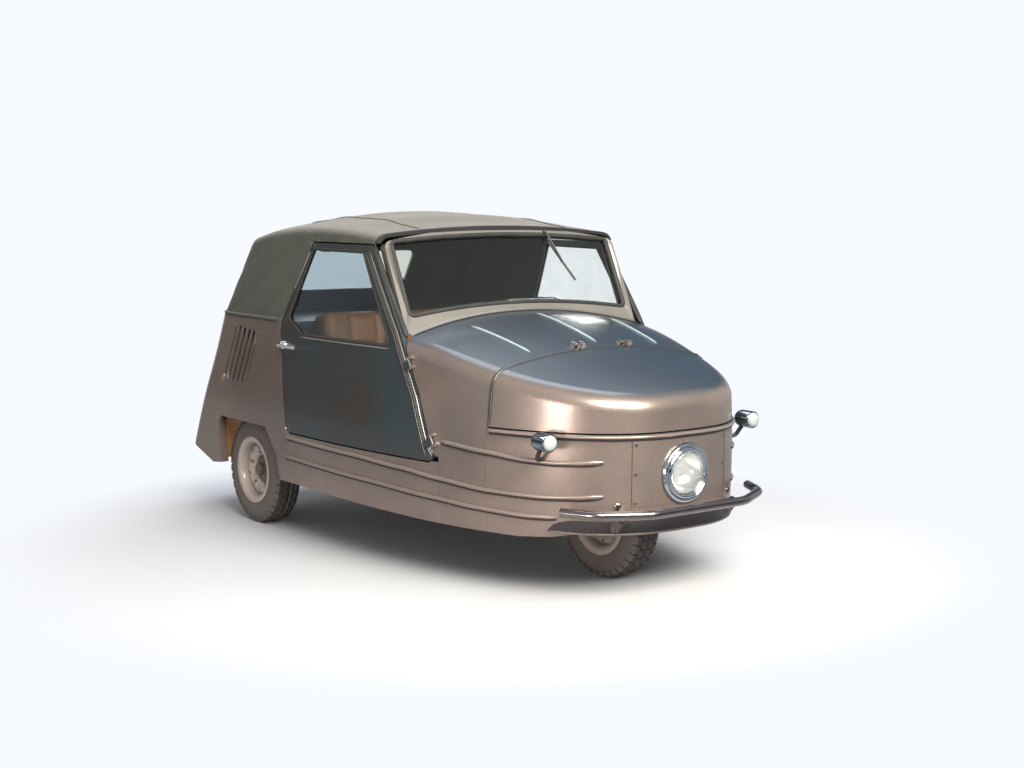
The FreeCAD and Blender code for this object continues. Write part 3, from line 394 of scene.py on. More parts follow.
def weave_group():
    """A plain weave that runs along the car and round it, as a height and a thread mask."""
    tree, given, end = group("weave", [("Threads", "value", 700.0)], [("Height", "value"), ("Mask", "value")])
    place = split(tree, place_of(tree))
    around = maths(tree, "SUBTRACT", maths(tree, "ABSOLUTE", place["Y"]), place["Z"])
    along, across = (maths(tree, "MULTIPLY", run, given["Threads"]) for run in (place["X"], around))
    over = maths(tree, "MULTIPLY", maths(tree, "SINE", along), maths(tree, "SINE", across))
    height = maths(tree, "ADD", over, maths(tree, "MULTIPLY", clouds(tree, 90.0, 3.0), 1.4))
    feed(tree, end, Height=height, Mask=ranged(tree, over, -1.0, 1.0))
    return tree


MOTTLE = mottle_group()
ROAD_DUST = road_dust_group()
PAINTED_SKY_LIGHT = painted_sky_light_group()
GRAIN = grain_group()
WEAVE = weave_group()
BODY_DUST = rgb(0.27, 0.17, 0.14)
TYRE_DUST = rgb(0.155, 0.125, 0.122)


def surface(name, **sockets):
    """A material with one Principled shader and these constants on its sockets."""
    material = bpy.data.materials.new(name)
    material.use_nodes = True
    tree = material.node_tree
    shader = tree.nodes["Principled BSDF"]
    fill(tree, shader, sockets)
    return material, tree, shader


def bumped(tree, shader, height, strength, distance):
    """Feeds a height through a Bump node into the shader."""
    bump = add(tree, "ShaderNodeBump", {"Height": height, "Strength": strength, "Distance": distance})
    feed(tree, shader, Normal=bump.outputs["Normal"])


def paint(name, first, second, dust=0.25, metallic=0.55, roughness=0.31, coat=0.2, flat=None):
    """Metallic enamel with cloudy colour, orange peel, road dust near the sills, and the flat colour on faces that
    lie flat as a painted sky reflection.
    """
    material, tree, shader = surface(name, Metallic=metallic, Coat_Weight=coat, Coat_Roughness=0.12,
                                     Specular_IOR_Level=0.35)
    cloud = use(tree, MOTTLE, First=first, Second=second, Scale=2.6, Detail=5.0, Low=0.38, High=0.64)
    flake = use(tree, MOTTLE, First=cloud["Colour"], Second=darker(second, 0.72), Scale=420.0, Detail=1.0,
                Low=0.45, High=0.85)
    # Faces that lie flat take the flat colour: painted sky reflection and painted shade on the tops.
    toned = use(tree, PAINTED_SKY_LIGHT, Upright=flake["Colour"], Flat=flat or second)
    dusty = use(tree, ROAD_DUST, Colour=toned["Colour"], Dust=BODY_DUST, Low=0.18, High=0.58, Amount=dust)
    feed(tree, shader, Base_Color=dusty["Colour"],
         Roughness=ranged(tree, dusty["Mask"], to_low=roughness, to_high=0.75))
    bumped(tree, shader, clouds(tree, 130.0, 2.0), 0.05, 0.0006)
    return material


def metal(name, colour, roughness, stain, spread=0.12, scale=30.0):
    """Bare or plated metal with faint stains."""
    material, tree, shader = surface(name, Metallic=1.0)
    cloud = use(tree, MOTTLE, First=colour, Second=stain, Scale=scale, Detail=5.0, Low=0.45, High=0.8)
    feed(tree, shader, Base_Color=cloud["Colour"],
         Roughness=ranged(tree, cloud["Mask"], to_low=roughness, to_high=roughness + spread))
    return material


def rubber(name, colour, worn, dust=0.45, wall=None):
    """Matt rubber with fine grain and road dust, in another colour on the faces that look sideways."""
    material, tree, shader = surface(name, Specular_IOR_Level=0.35)
    cloud = use(tree, MOTTLE, First=colour, Second=worn, Scale=14.0, Detail=6.0, Low=0.4, High=0.75)
    sideways = ranged(tree, maths(tree, "ABSOLUTE", facing(tree)["Y"]), 0.55, 0.85)
    toned = blend(tree, sideways, cloud["Colour"], wall or worn)
    dusty = use(tree, ROAD_DUST, Colour=toned, Dust=TYRE_DUST, Low=0.0, High=0.36, Amount=dust)
    feed(tree, shader, Base_Color=dusty["Colour"], Roughness=ranged(tree, dusty["Mask"], to_low=0.6, to_high=0.9))
    bumped(tree, shader, use(tree, GRAIN, Scale=420.0, Soft=0.6)["Height"], 0.25, 0.0004)
    return material


def glass(name, colour, roughness, transmission):
    """Clear pane with a faint film of dust."""
    material, tree, shader = surface(name, Transmission_Weight=transmission, IOR=1.3, Specular_IOR_Level=0.6)
    film = use(tree, MOTTLE, First=colour, Second=darker(colour, 0.93), Scale=9.0, Detail=4.0, Low=0.35, High=0.8)
    feed(tree, shader, Base_Color=film["Colour"],
         Roughness=ranged(tree, film["Mask"], to_low=roughness, to_high=roughness + 0.05))
    return material


def fluted_glass():
    """Clear lamp glass with upright flutes."""
    material, tree, shader = surface("fluted_lamp_glass", Transmission_Weight=0.92, IOR=1.35, Roughness=0.06,
                                     Specular_IOR_Level=0.6)
    film = use(tree, MOTTLE, First=rgb(0.95, 0.96, 0.93), Second=rgb(0.88, 0.89, 0.86), Scale=20.0, Detail=3.0)
    feed(tree, shader, Base_Color=film["Colour"])
    across = maths(tree, "MULTIPLY", split(tree, place_of(tree))["Y"], 420.0)
    bumped(tree, shader, maths(tree, "ABSOLUTE", maths(tree, "SINE", across)), 0.25, 0.001)
    return material


def canvas_cloth(name, first, second, painted_top_light=None):
    """Proofed canvas: plain weave, faded patches, a soft sheen, and paler on the faces that lie flat, a painted sky
    light.
    """
    material, tree, shader = surface(name, Roughness=0.86, Sheen_Weight=0.12, Sheen_Roughness=0.5,
                                     Specular_IOR_Level=0.25)
    faded = use(tree, MOTTLE, First=first, Second=second, Scale=3.2, Detail=6.0, Low=0.36, High=0.68)
    dark = use(tree, MOTTLE, First=faded["Colour"], Second=darker(first, 0.62), Scale=240.0, Detail=2.0, Low=0.42,
               High=0.8)
    threads = use(tree, WEAVE, Threads=1500.0)
    woven = blend(tree, maths(tree, "MULTIPLY", threads["Mask"], 0.3), dark["Colour"], darker(second, 0.7))
    # The paler colour on faces that lie flat is a painted sky light on the hood's top.
    pale = blend(tree, 0.7, woven, painted_top_light or second)
    toned = use(tree, PAINTED_SKY_LIGHT, Upright=woven, Flat=pale, Low=0.35, High=0.9)
    feed(tree, shader, Base_Color=toned["Colour"])
    bumped(tree, shader, threads["Height"], 0.35, 0.0005)
    return material


def leather(name, first, second):
    """Grained leathercloth with darker creases."""
    material, tree, shader = surface(name, Specular_IOR_Level=0.4, Coat_Weight=0.08)
    worn = use(tree, MOTTLE, First=first, Second=second, Scale=6.0, Detail=5.0, Low=0.38, High=0.7)
    pebbles = use(tree, GRAIN, Scale=260.0, Soft=0.4)
    creased = blend(tree, maths(tree, "MULTIPLY", pebbles["Mask"], 0.85), darker(first, 0.45), worn["Colour"])
    feed(tree, shader, Base_Color=creased, Roughness=ranged(tree, worn["Mask"], to_low=0.42, to_high=0.6))
    bumped(tree, shader, pebbles["Height"], 0.3, 0.0005)
    return material


FINISH = {
    # Body enamel: its flat colour, dark blue-grey, is a painted sky reflection on the cowl and lid tops.
    "body_paint": paint("body_enamel", rgb(0.200, 0.156, 0.138), rgb(0.142, 0.117, 0.108), dust=0.35,
                        flat=rgb(0.044, 0.057, 0.074)),
    "door_paint": paint("door_enamel", rgb(0.040, 0.059, 0.069), rgb(0.050, 0.048, 0.048), dust=0.22),
    "trim_paint": paint("screen_frame_enamel", rgb(0.235, 0.22, 0.20), rgb(0.18, 0.17, 0.155), dust=0.0),
    "frame_paint": paint("chassis_enamel", rgb(0.022, 0.022, 0.024), rgb(0.035, 0.033, 0.031), dust=0.5,
                         metallic=0.0, roughness=0.5, coat=0.1),
    "rim_paint": paint("wheel_enamel", rgb(0.31, 0.28, 0.25), rgb(0.235, 0.21, 0.195), dust=0.5, metallic=0.0,
                       roughness=0.3, coat=0.35),
    # Dark brown hubs and wheel nuts: painted shade of the wheel's centre recess and its holes.
    "hub_paint": paint("hub_enamel_painted_shade", rgb(0.085, 0.062, 0.052), rgb(0.055, 0.042, 0.038), dust=0.3, metallic=0.0,
                       roughness=0.5, coat=0.1),
    "dash_paint": paint("dash_enamel", rgb(0.20, 0.18, 0.16), rgb(0.15, 0.14, 0.13), dust=0.0, metallic=0.2),
    "clear_glass": glass("window_pane", rgb(0.965, 0.985, 0.975), 0.0, 1.0),
    "clear_sheet": glass("clear_sheet", rgb(0.86, 0.86, 0.78), 0.12, 0.9),
    "lamp_glass": glass("lamp_glass", rgb(0.96, 0.97, 0.95), 0.03, 0.95),
    "red_lens": surface("red_lens", Base_Color=rgb(0.42, 0.012, 0.01), Roughness=0.15, Coat_Weight=0.6)[0],
    "bright_chrome": metal("bright_chrome", rgb(0.72, 0.73, 0.75), 0.05, rgb(0.60, 0.61, 0.62), 0.05, 9.0),
    "bare_metal": metal("brushed_alloy", rgb(0.52, 0.50, 0.47), 0.26, rgb(0.40, 0.37, 0.33)),
    "bar_metal": metal("bar_plating", rgb(0.50, 0.50, 0.50), 0.14, rgb(0.36, 0.35, 0.34), 0.08, 8.0),
    "engine_metal": metal("cast_alloy", rgb(0.42, 0.42, 0.41), 0.5, rgb(0.2, 0.18, 0.16), 0.2, 12.0),
    "exhaust_metal": metal("scaled_steel", rgb(0.22, 0.17, 0.13), 0.55, rgb(0.34, 0.16, 0.08), 0.25, 16.0),
    # The hood's third colour is a painted sky light, paler on its top.
    "hood_canvas": canvas_cloth("hood_canvas", rgb(0.027, 0.029, 0.023), rgb(0.040, 0.042, 0.032),
                                rgb(0.112, 0.104, 0.092)),
    "seat_cover": leather("seat_leathercloth", rgb(0.33, 0.115, 0.022), rgb(0.225, 0.078, 0.018)),
    "grip_rubber": rubber("grip_rubber", rgb(0.018, 0.018, 0.018), rgb(0.03, 0.03, 0.03), 0.0),
    "tyre_rubber": rubber("tyre_rubber", rgb(0.026, 0.024, 0.025), rgb(0.038, 0.034, 0.035),
                          wall=rgb(0.078, 0.065, 0.062)),
}
SEAL = rubber("seal_rubber", rgb(0.012, 0.012, 0.012), rgb(0.022, 0.022, 0.021), 0.1)
THREAD = canvas_cloth("hem_tape", rgb(0.045, 0.044, 0.036), rgb(0.060, 0.058, 0.048))
# Near black: a painted shadow under the beads, and also the dark joints of the lamp panel.
PAINTED_SHADOW_AND_SEAM = paint("painted_shadow_and_seam", rgb(0.022, 0.014, 0.014), rgb(0.016, 0.011, 0.012), dust=0.0, metallic=0.1,
               roughness=0.6, coat=0.0)
# Body colour made paler: a painted highlight on the flank beads and the nose bead.
STRIP_HIGHLIGHT_PAINT = paint("strip_enamel_painted_highlight", rgb(0.25, 0.20, 0.175), rgb(0.20, 0.165, 0.15), dust=0.1)
# Near black band under the bumper: a painted shadow.
APRON_SHADOW_PAINT = paint("apron_painted_shadow", rgb(0.024, 0.018, 0.020), rgb(0.016, 0.014, 0.017), dust=0.04, metallic=0.1,
                    roughness=0.45, coat=0.1)
RIB_PAINT = paint("rib_enamel", rgb(0.26, 0.34, 0.35), rgb(0.20, 0.26, 0.28), dust=0.0, metallic=0.3,
                  roughness=0.4, coat=0.1, flat=rgb(0.26, 0.34, 0.36))
REFLECTOR = metal("reflector_silver", rgb(0.60, 0.62, 0.63), 0.24, rgb(0.50, 0.51, 0.52), 0.04, 9.0)
# Bluish chrome: the blue tint is a painted sky reflection.
LAMP_CHROME = metal("lamp_chrome", rgb(0.46, 0.51, 0.56), 0.08, rgb(0.38, 0.42, 0.46), 0.04, 9.0)
HEADLAMP_GLASS = fluted_glass()

# Finishes of single nodes, in the place of their slot's
OWN_FINISH = {
    "headlamp_bezel": LAMP_CHROME,
    # Dark bluish chrome: a painted dark reflection on the side lamp shells.
    "side_lamps": metal("lamp_shell_chrome", rgb(0.20, 0.25, 0.28), 0.14, rgb(0.15, 0.19, 0.21), 0.05, 9.0),
    "roof_header": paint("header_enamel", rgb(0.050, 0.050, 0.050), rgb(0.038, 0.038, 0.038), dust=0.0),
    # Blue tint on the near door's pane: a painted sky reflection.
    "door_glass_right": glass("door_pane", rgb(0.62, 0.77, 0.92), 0.0, 1.0),
    "door_glass_left": glass("far_door_pane", rgb(0.95, 0.975, 0.955), 0.0, 1.0),
    "bumper": metal("bumper_plating", rgb(0.20, 0.175, 0.175), 0.2, rgb(0.15, 0.13, 0.13), 0.08, 8.0),
    "wheel_houses": paint("arch_primer", rgb(0.22, 0.10, 0.035), rgb(0.085, 0.05, 0.032), dust=0.3, metallic=0.0,
                          roughness=0.6, coat=0.0),
}


# Nodes shown as a smoothly shaded copy; the others stay plain or get a piece of their own further down
SMOOTH_NODES = [
    "side_panel_right", "side_panel_left", "tail_panel", "engine_lid", "cowl", "nose_shell", "front_panel",
    "bonnet_lid", "door_panel_right", "door_panel_left", "rear_deck", "windscreen_frame", "roof_header", "bumper",
    "headlamp_bezel", "side_lamps", "front_rim", "rear_rim_right", "rear_rim_left", "front_hub", "rear_hub_right",
    "rear_hub_left", "front_fork", "door_handle_right", "door_handle_left", "steering_column", "handlebar_grips",
    "chassis_frame", "trailing_arms", "rear_dampers",
    "tail_lamps", "side_lamp_brackets", "hand_levers", "seat_frame", "exhaust", "drag_link", "wiper", "roof_bows",
    "dashboard", "rear_window", "door_glass_right", "door_glass_left", "windscreen_glass", "bulkheads",
    "wheel_houses",
]
TYRES = ("front_tyre", "rear_tyre_right", "rear_tyre_left")


def dress_plain_nodes():
    """Gives every solid the finish of its slot."""
    for node, piece in nodes.items():
        piece.data.materials.clear()
        piece.data.materials.append(FINISH[slot_of[node]])


def weigh_normals(piece):
    """Lets the large faces set the shading, so that flat panels stay flat to their edges."""
    weighted = piece.modifiers.new("weighted", "WEIGHTED_NORMAL")
    weighted.mode = "FACE_AREA"
    weighted.weight = 80
    weighted.keep_sharp = True
    apply_modifiers(piece)


def smooth_panels():
    """Puts a joined, smoothly shaded copy in the place of each curved solid."""
    for node in SMOOTH_NODES:
        piece = merged_copy(node, node + "_skin")
        material = OWN_FINISH.get(node, FINISH[slot_of[node]])
        finish_piece(piece, material, body_of[node], [node], 32)
        weigh_normals(piece)


# Measuring on the solids


def tree_of(mesh):
    """The search tree of a mesh, for dropping points on its surface."""
    return BVHTree.FromPolygons([v.co for v in mesh.vertices], [p.vertices for p in mesh.polygons])


def landed(tree, start, direction):
    """Where a ray from a point meets a surface, and the normal there."""
    return tree.ray_cast(Vector(start), Vector(direction))[:2]


ARC_STEPS = 5


def rounded_path(points, radius, spacing=0.03):
    """A closed side view outline with rounded corners, as closely spaced (x, z) points."""
    corners = []
    for i, point in enumerate(points):
        here, before, after = Vector(point), Vector(points[i - 1]), Vector(points[(i + 1) % len(points)])
        u, v = (before - here).normalized(), (after - here).normalized()
        half = math.acos(u.dot(v)) / 2
        start, end = (here + away * (radius / math.tan(half)) for away in (u, v))
        middle = here + (u + v).normalized() * (radius / math.sin(half))
        chord = [start.lerp(end, step / ARC_STEPS) for step in range(ARC_STEPS + 1)]
        corners.append([middle + (spot - middle).normalized() * radius for spot in chord])
    path = []
    for arc, following in zip(corners, corners[1:] + corners[:1]):
        runs = max(1, int((following[0] - arc[-1]).length / spacing))
        path += arc + [arc[-1].lerp(following[0], step / runs) for step in range(1, runs)]
    return path


def between(line, x):
    """The height at station x on a line of (x, z) points, half way to one that eases in and out of each."""
    for (x0, z0), (x1, z1) in zip(line, line[1:]):
        if x <= x1:
            share = (x - x0) / (x1 - x0)
            eased = share * share * (3 - 2 * share)
            return z0 + (z1 - z0) * (eased + share) / 2
    return line[-1][1]


def surface_normal(x, z, side):
    """The outward direction of the flank."""
    step = 0.002
    along = (flank_y(x + step, z) - flank_y(x - step, z)) / (2 * step)
    upward = (flank_y(x, z + step) - flank_y(x, z - step)) / (2 * step)
    return Vector((-along, side, -upward)).normalized()


# Beads, ribs, seals and screws of the body

STRIPS = {
    "upper_strip": [(0.590, 0.524), (0.792, 0.508), (0.937, 0.494), (1.021, 0.491), (1.093, 0.494), (1.150, 0.500)],
    "middle_strip": [(-0.387, 0.424), (0.10, 0.417), (0.398, 0.404), (0.560, 0.390), (0.790, 0.373), (0.979, 0.370),
                     (1.093, 0.375), (1.150, 0.382)],
    "lower_strip": [(-0.404, 0.344), (0.203, 0.331), (0.556, 0.316), (0.733, 0.306), (0.933, 0.299), (1.030, 0.302)],
}
STRIP_R = 0.0078
UNDERLINE_R = 0.0058
STRIP_SPACING = 0.018


def flank_strips():
    """The pressed beads along the flanks, paler than the body as a painted highlight, each with a dark bead at its
    foot as a painted shadow, on both sides.
    """
    for name, line in STRIPS.items():
        start, end = line[0][0], line[-1][0]
        count = int((end - start) / STRIP_SPACING)
        for side, label in SIDES:
            path, under = [], []
            for i in range(count + 1):
                x = start + (end - start) * i / count
                z = between(line, x)
                path.append((x, side * (flank_y(x, z) + 0.0015), z))
                z -= STRIP_R + 0.0005
                under.append((x, side * (flank_y(x, z) + 0.0002), z))
            bead(f"{name}_{label}", path, STRIP_R, STRIP_HIGHLIGHT_PAINT, "body", steps=4, taper=1)
            bead(f"{name}_underline_{label}", under, UNDERLINE_R, PAINTED_SHADOW_AND_SEAM, "body", steps=2, taper=1)


LID_REAR_X = 0.795


def nose_beads():
    """The bead round the nose under the lid, paler than the body as a painted highlight, with a dark bead at its
    foot as a painted shadow.
    """
    for name, height, proud, radius, material in (
        ("nose_bead", 0.5835, 0.0068, 0.0055, STRIP_HIGHLIGHT_PAINT),
        ("nose_bead_underline", 0.5752, 0.0014, 0.0046, PAINTED_SHADOW_AND_SEAM),
    ):
        edge = flank_y(LID_REAR_X, height)
        path = []
        for i in range(81):
            y = edge * math.sin(math.pi * (i / 80 - 0.5))
            x = nose_x(y, height)
            out = surface_normal(x, height, math.copysign(1, y)) if abs(y) > 0.02 else Vector((1, 0, 0))
            path.append(Vector((x, y, height)) + out * proud)
        bead(name, path, radius, material, "body", steps=4, taper=2)


def lid_lip():
    """The turned up rear edge of the bonnet lid in dark door enamel, a painted shadow along the lid's rear edge, and
    the rubber that it closes on.
    """
    tree = tree_of(nodes["bonnet_lid"].data)
    middle = Vector((0.79, 0, 0.60))
    for name, x, radius, sink, material, body, slot in (
        # Dark door enamel on the lip: a painted shadow along the lid's rear edge.
        ("bonnet_lip", 0.7935, 0.0048, 0.001, FINISH["door_paint"], "bonnet", "door_paint"),
        ("bonnet_seal", 0.7845, 0.0030, 0.003, SEAL, "body", "grip_rubber"),
    ):
        path = []
        for i in range(65):
            turn = math.pi * (i / 64)
            away = Vector((0, -math.cos(turn), math.sin(turn)))
            place, normal = landed(tree, middle + away * 1.2, -away)
            if place:
                path.append(Vector((x, place.y, place.z)) - away * sink)
        bead(name, path, radius, material, body, taper=2)


DOOR_FRONT_EDGE = [(0.112, 1.190), (0.327, 0.898), (0.461, 0.672), (0.553, 0.458)]


def door_edge_bands():
    """The bright beads, painted highlights, and the dark band down each door's slanted front edge."""
    for name, inset, radius, material, slot in (
        # The cream beads are painted highlights along the door's edge.
        ("edge_bead_outer", 0.009, 0.0026, FINISH["trim_paint"], "trim_paint"),
        ("edge_band", 0.019, 0.0062, SEAL, "grip_rubber"),
        ("edge_bead_inner", 0.029, 0.0026, FINISH["trim_paint"], "trim_paint"),
    ):
        for side, label in SIDES:
            path = []
            for (x0, z0), (x1, z1) in zip(DOOR_FRONT_EDGE, DOOR_FRONT_EDGE[1:]):
                for i in range(12):
                    share = i / 12
                    x, z = x0 + (x1 - x0) * share - inset, z0 + (z1 - z0) * share - inset * 0.4
                    path.append((x, side * (flank_y(x, z) + radius * 0.1), z))
            bead(f"{name}_{label}", path, radius, material, "door_" + label, taper=2)


def bonnet_ribs():
    """The three thin bright ribs between the windscreen and the lid."""
    tree = tree_of(nodes["cowl"].data)
    for name, (x0, y0), (x1, y1) in (
        ("middle_rib", (0.385, 0.0), (0.745, 0.0)),
        ("right_rib", (0.425, -0.340), (0.742, -0.305)),
        ("left_rib", (0.425, 0.340), (0.742, 0.305)),
    ):
        path = []
        for i in range(19):
            share = i / 18
            place, normal = landed(tree, (x0 + (x1 - x0) * share, y0 + (y1 - y0) * share, 1.4), (0, 0, -1))
            path.append(place + Vector((0, 0, 0.0012)))
        bead(name, path, 0.0055, RIB_PAINT, "body", taper=2)


WINDOW_STRIP_Z = 0.832
WINDOW = [(-0.322, 0.842), (-0.440, 0.902), (-0.294, 1.184), (0.062, 1.181), (0.284, 0.842)]


def door_seals():
    """Rubber round each door window, and the bright strip under it."""
    for side, label in SIDES:
        body = "door_" + label
        path = [(x, side * (flank_y(x, z) - 0.004), z) for x, z in rounded_path(WINDOW, 0.019)]
        bead("window_seal_" + label, path, 0.0065, SEAL, body, closed=True)
        stations = [-0.326 + 0.606 * i / 30 for i in range(31)]
        path = [(x, side * (flank_y(x, WINDOW_STRIP_Z) + 0.0005), WINDOW_STRIP_Z) for x in stations]
        bead("window_sill_strip_" + label, path, 0.003, FINISH["trim_paint"], body, taper=2)


SCREEN_BASE = Vector((0.288, 0.0, 0.945))
SCREEN_UP = (Vector((0.162, 0.0, 1.213)) - SCREEN_BASE).normalized()
SCREEN_OUT = Vector((SCREEN_UP.z, 0.0, -SCREEN_UP.x))
SCREEN_HALF = 0.534


def on_screen(y, level, proud):
    """A point in the windscreen's plane, proud of it by a small distance."""
    return SCREEN_BASE + SCREEN_UP * level + Vector((0, y, 0)) + SCREEN_OUT * proud


def screen_loop(inset, corner, proud):
    """The windscreen's opening moved in by a distance, as a closed path with round corners."""
    straight = SCREEN_HALF - inset - corner

    def low(y):
        return 0.033 + inset - 0.042 * (y / SCREEN_HALF) ** 2

    def high(y):
        return 0.333 - inset - 0.027 * (y / SCREEN_HALF) ** 2

    flat = [(straight * (i / 12 - 1), low(straight * (i / 12 - 1))) for i in range(25)]
    arcs = ((1, low(straight) + corner, -90), (1, high(straight) - corner, 0),
            (-1, high(straight) - corner, 90), (-1, low(straight) + corner, 180))
    for side, level, start in arcs:
        for i in range(1, 7):
            turn = math.radians(start + 15 * i)
            flat.append((side * straight + corner * math.cos(turn), level + corner * math.sin(turn)))
        if start == 0:
            flat += [(straight * (1 - i / 12), high(straight * (1 - i / 12))) for i in range(1, 24)]
            flat.append((-straight, high(straight)))
    return [on_screen(y, level, proud) for y, level in flat]


def screen_seal():
    """The wide rubber that holds the windscreen in its frame."""
    bead("windscreen_seal", screen_loop(0.006, 0.021, 0.008), 0.0095, SEAL, "body", closed=True,
         steps=4)
    bead("windscreen_seal_inside", screen_loop(0.006, 0.021, -0.007), 0.009, SEAL, "body",
         closed=True)


def screw_head(radius, height, slotted=True):
    """One domed screw head with its slot, at the origin, facing up."""
    bpy.ops.object.select_all(action="DESELECT")
    bpy.ops.mesh.primitive_cylinder_add(vertices=16, radius=radius, depth=height, location=(0, 0, height / 2))
    head = bpy.context.object
    edit(head, "FACE")
    mesh = bmesh.from_edit_mesh(head.data)
    for face in mesh.faces:
        face.select = face.normal.z > 0.9
    bmesh.update_edit_mesh(head.data)
    bpy.ops.mesh.inset(thickness=radius * 0.35, depth=height * 0.25)
    if slotted:
        bpy.ops.mesh.inset(thickness=radius * 0.12, depth=-height * 0.2)
    leave_edit()
    return head


def set_on(pattern, name, place, normal):
    """A copy of a small pattern, with a mesh of its own, standing at a place on a surface."""
    piece = bpy.data.objects.new(name, pattern.data.copy())
    bpy.context.scene.collection.objects.link(piece)
    turn = Vector(normal).to_track_quat("Z", "Y").to_matrix().to_4x4()
    piece.data.transform(Matrix.Translation(Vector(place)) @ turn)
    return piece


def body_screws():
    """Screws of the lamp panel and of the bumper stays."""
    head = screw_head(0.0065, 0.004)
    made = []
    for side, label in SIDES:
        for z in (0.556, 0.455, 0.356):
            x = nose_x(0.205, z)
            made.append(set_on(head, "screw", (x, side * 0.205, z), surface_normal(x, z, side)))
    finish_piece(joined("body_screws", made), FINISH["frame_paint"], "body", angle=40)
    bpy.data.objects.remove(head)
    large = screw_head(0.0115, 0.009)
    bolts = []
    for side, label in SIDES:
        x, y, z = nose_x(0.262, 0.347), 0.262, 0.347
        bolts.append(set_on(large, "bolt", (x, side * y, z), surface_normal(x, z, side)))
    finish_piece(joined("bumper_bolts", bolts), OWN_FINISH["bumper"], "body", angle=40)
    bpy.data.objects.remove(large)


def screen_foot():
    """The turned out flange at the windscreen's foot and the dark welt in front of it."""
    cowl, screen = tree_of(nodes["cowl"].data), tree_of(nodes["windscreen_frame"].data)
    rows, welt = [], []
    for i in range(75):
        y = 0.552 * (i / 37 - 1)
        above, normal = landed(screen, on_screen(y, -0.3, 0.009), SCREEN_UP)
        level = (above - SCREEN_BASE).dot(SCREEN_UP)
        x, below = above.x, None
        while below is None:
            x += 0.001
            below, normal = landed(cowl, (x, y, 1.4), (0, 0, -1))
        foot = below + Vector((0.005, 0, 0.0004))
        top = on_screen(y, level + 0.007, 0.0124)
        knee = top.lerp(foot, 0.5) + Vector((0.002, 0, -0.0015))
        rows.append([top, top.lerp(knee, 0.5), knee, knee.lerp(foot, 0.5), foot])
        welt.append(foot + Vector((0.001, 0, 0.0008)))
    flange = ribbon("windscreen_foot_flange", rows, 0.0022)
    finish_piece(flange, FINISH["trim_paint"], "body", angle=60)
    bead("windscreen_foot_welt", welt, 0.0028, SEAL, "body", taper=2)


def pillar_seals():
    """The rubber between each door's front edge and the windscreen's pillar."""
    (x0, z0), (x1, z1) = DOOR_FRONT_EDGE[0], DOOR_FRONT_EDGE[1]
    for side, label in SIDES:
        path = []
        for i in range(25):
            share = 0.02 + 1.04 * i / 24
            x, z = x0 + (x1 - x0) * share, z0 + (z1 - z0) * share
            path.append((x + 0.010, side * (0.5 * (0.560 + flank_y(x, z)) - 0.003), z))
        bead("pillar_seal_" + label, path, 0.0105, SEAL, "body", taper=1)


APRON_HALF = 0.425
APRON_LOW = 0.250


def nose_apron():
    """A dark band under the bumper round the foot of the nose, a painted shadow, with its rolled lower edge in body
    colour.
    """
    rows, lip = [], []
    for i in range(91):
        y = APRON_HALF * (i / 45 - 1)
        end = max(0.0, (abs(y) - APRON_HALF + 0.07) / 0.07)
        low = APRON_LOW + 0.004 * end
        high = low + 0.002 + 0.043 * math.sqrt(max(0.0, 1 - end**2))
        row = []
        for j in range(6):
            z = low + (high - low) * j / 5
            x = nose_x(y, z)
            out = surface_normal(x, z, math.copysign(1, y)) if abs(y) > 0.03 else Vector((1, 0, 0))
            row.append(Vector((x, y, z)) + out * 0.0018)
        rows.append(row)
        lip.append(row[0] + Vector((0, 0, -0.001)))
    finish_piece(ribbon("nose_apron", rows, 0.003), APRON_SHADOW_PAINT, "body", angle=50)
    bead("nose_apron_lip", lip, 0.0042, FINISH["body_paint"], "body", taper=3)


def panel_seams():
    """The dark joints at both sides of the lamp panel."""
    y = 0.2183
    for side, label in SIDES:
        heights = [0.341 + 0.237 * i / 24 for i in range(25)]
        path = [(nose_x(y, z) + 0.0002, side * y, z) for z in heights]
        bead("lamp_panel_seam_" + label, path, 0.0013, PAINTED_SHADOW_AND_SEAM, "body", steps=2, taper=1)


def louvre_shades():
    """Dark sheets a little way behind the louvres, painted shade in their openings."""
    for side, label in SIDES:
        rows = []
        for i in range(9):
            share = i / 8
            (x0, z0), (x1, z1) = (-0.968 + 0.224 * share, 0.598), (-0.894 + 0.226 * share, 0.856 - 0.024 * share)
            column = [(x0 + (x1 - x0) * j / 6, z0 + (z1 - z0) * j / 6) for j in range(7)]
            rows.append([(x, side * (flank_y(x, z) - 0.034), z) for x, z in column])
        shade = ribbon("louvre_shade_" + label, rows, 0.002)
        finish_piece(shade, FINISH["frame_paint"], "body", angle=50)


# Tyres and wheels

TREAD_STEPS = 144
LUG_HEIGHT = 0.0042


def tyre_profile():
    """Half width and radius round a tyre's section, from bead to bead."""
    half = [
        (0.0365, 0.1185), (0.0470, 0.1240), (0.0540, 0.1400), (0.0570, 0.1600), (0.0572, 0.1760), (0.0560, 0.1900),
        (0.0530, 0.2030), (0.0490, 0.2130), (0.0450, 0.2190), (0.0330, 0.2215), (0.0300, 0.2220), (0.0285, 0.2185),
        (0.0235, 0.2185), (0.0220, 0.2225), (0.0080, 0.2232), (0.0065, 0.2195),
    ]
    return half + [(-a, r) for a, r in reversed(half)]


def is_lug(middle):
    """Whether the face with this middle, on a tyre at the origin, rises as a lug of the tread."""
    off, radius = abs(middle.y), math.hypot(middle.x, middle.z)
    turn = math.atan2(middle.z, middle.x) / math.tau * TREAD_STEPS
    shift = 2 if off < 0.018 else 0
    if (int(math.floor(turn)) + shift) % 4 == 0:
        return False
    crown = off < 0.030 and radius > 0.2215
    edge = 0.030 < off < 0.05 and radius > 0.216
    shoulder = 0.036 < off < 0.056 and radius > 0.2
    return crown or edge or shoulder


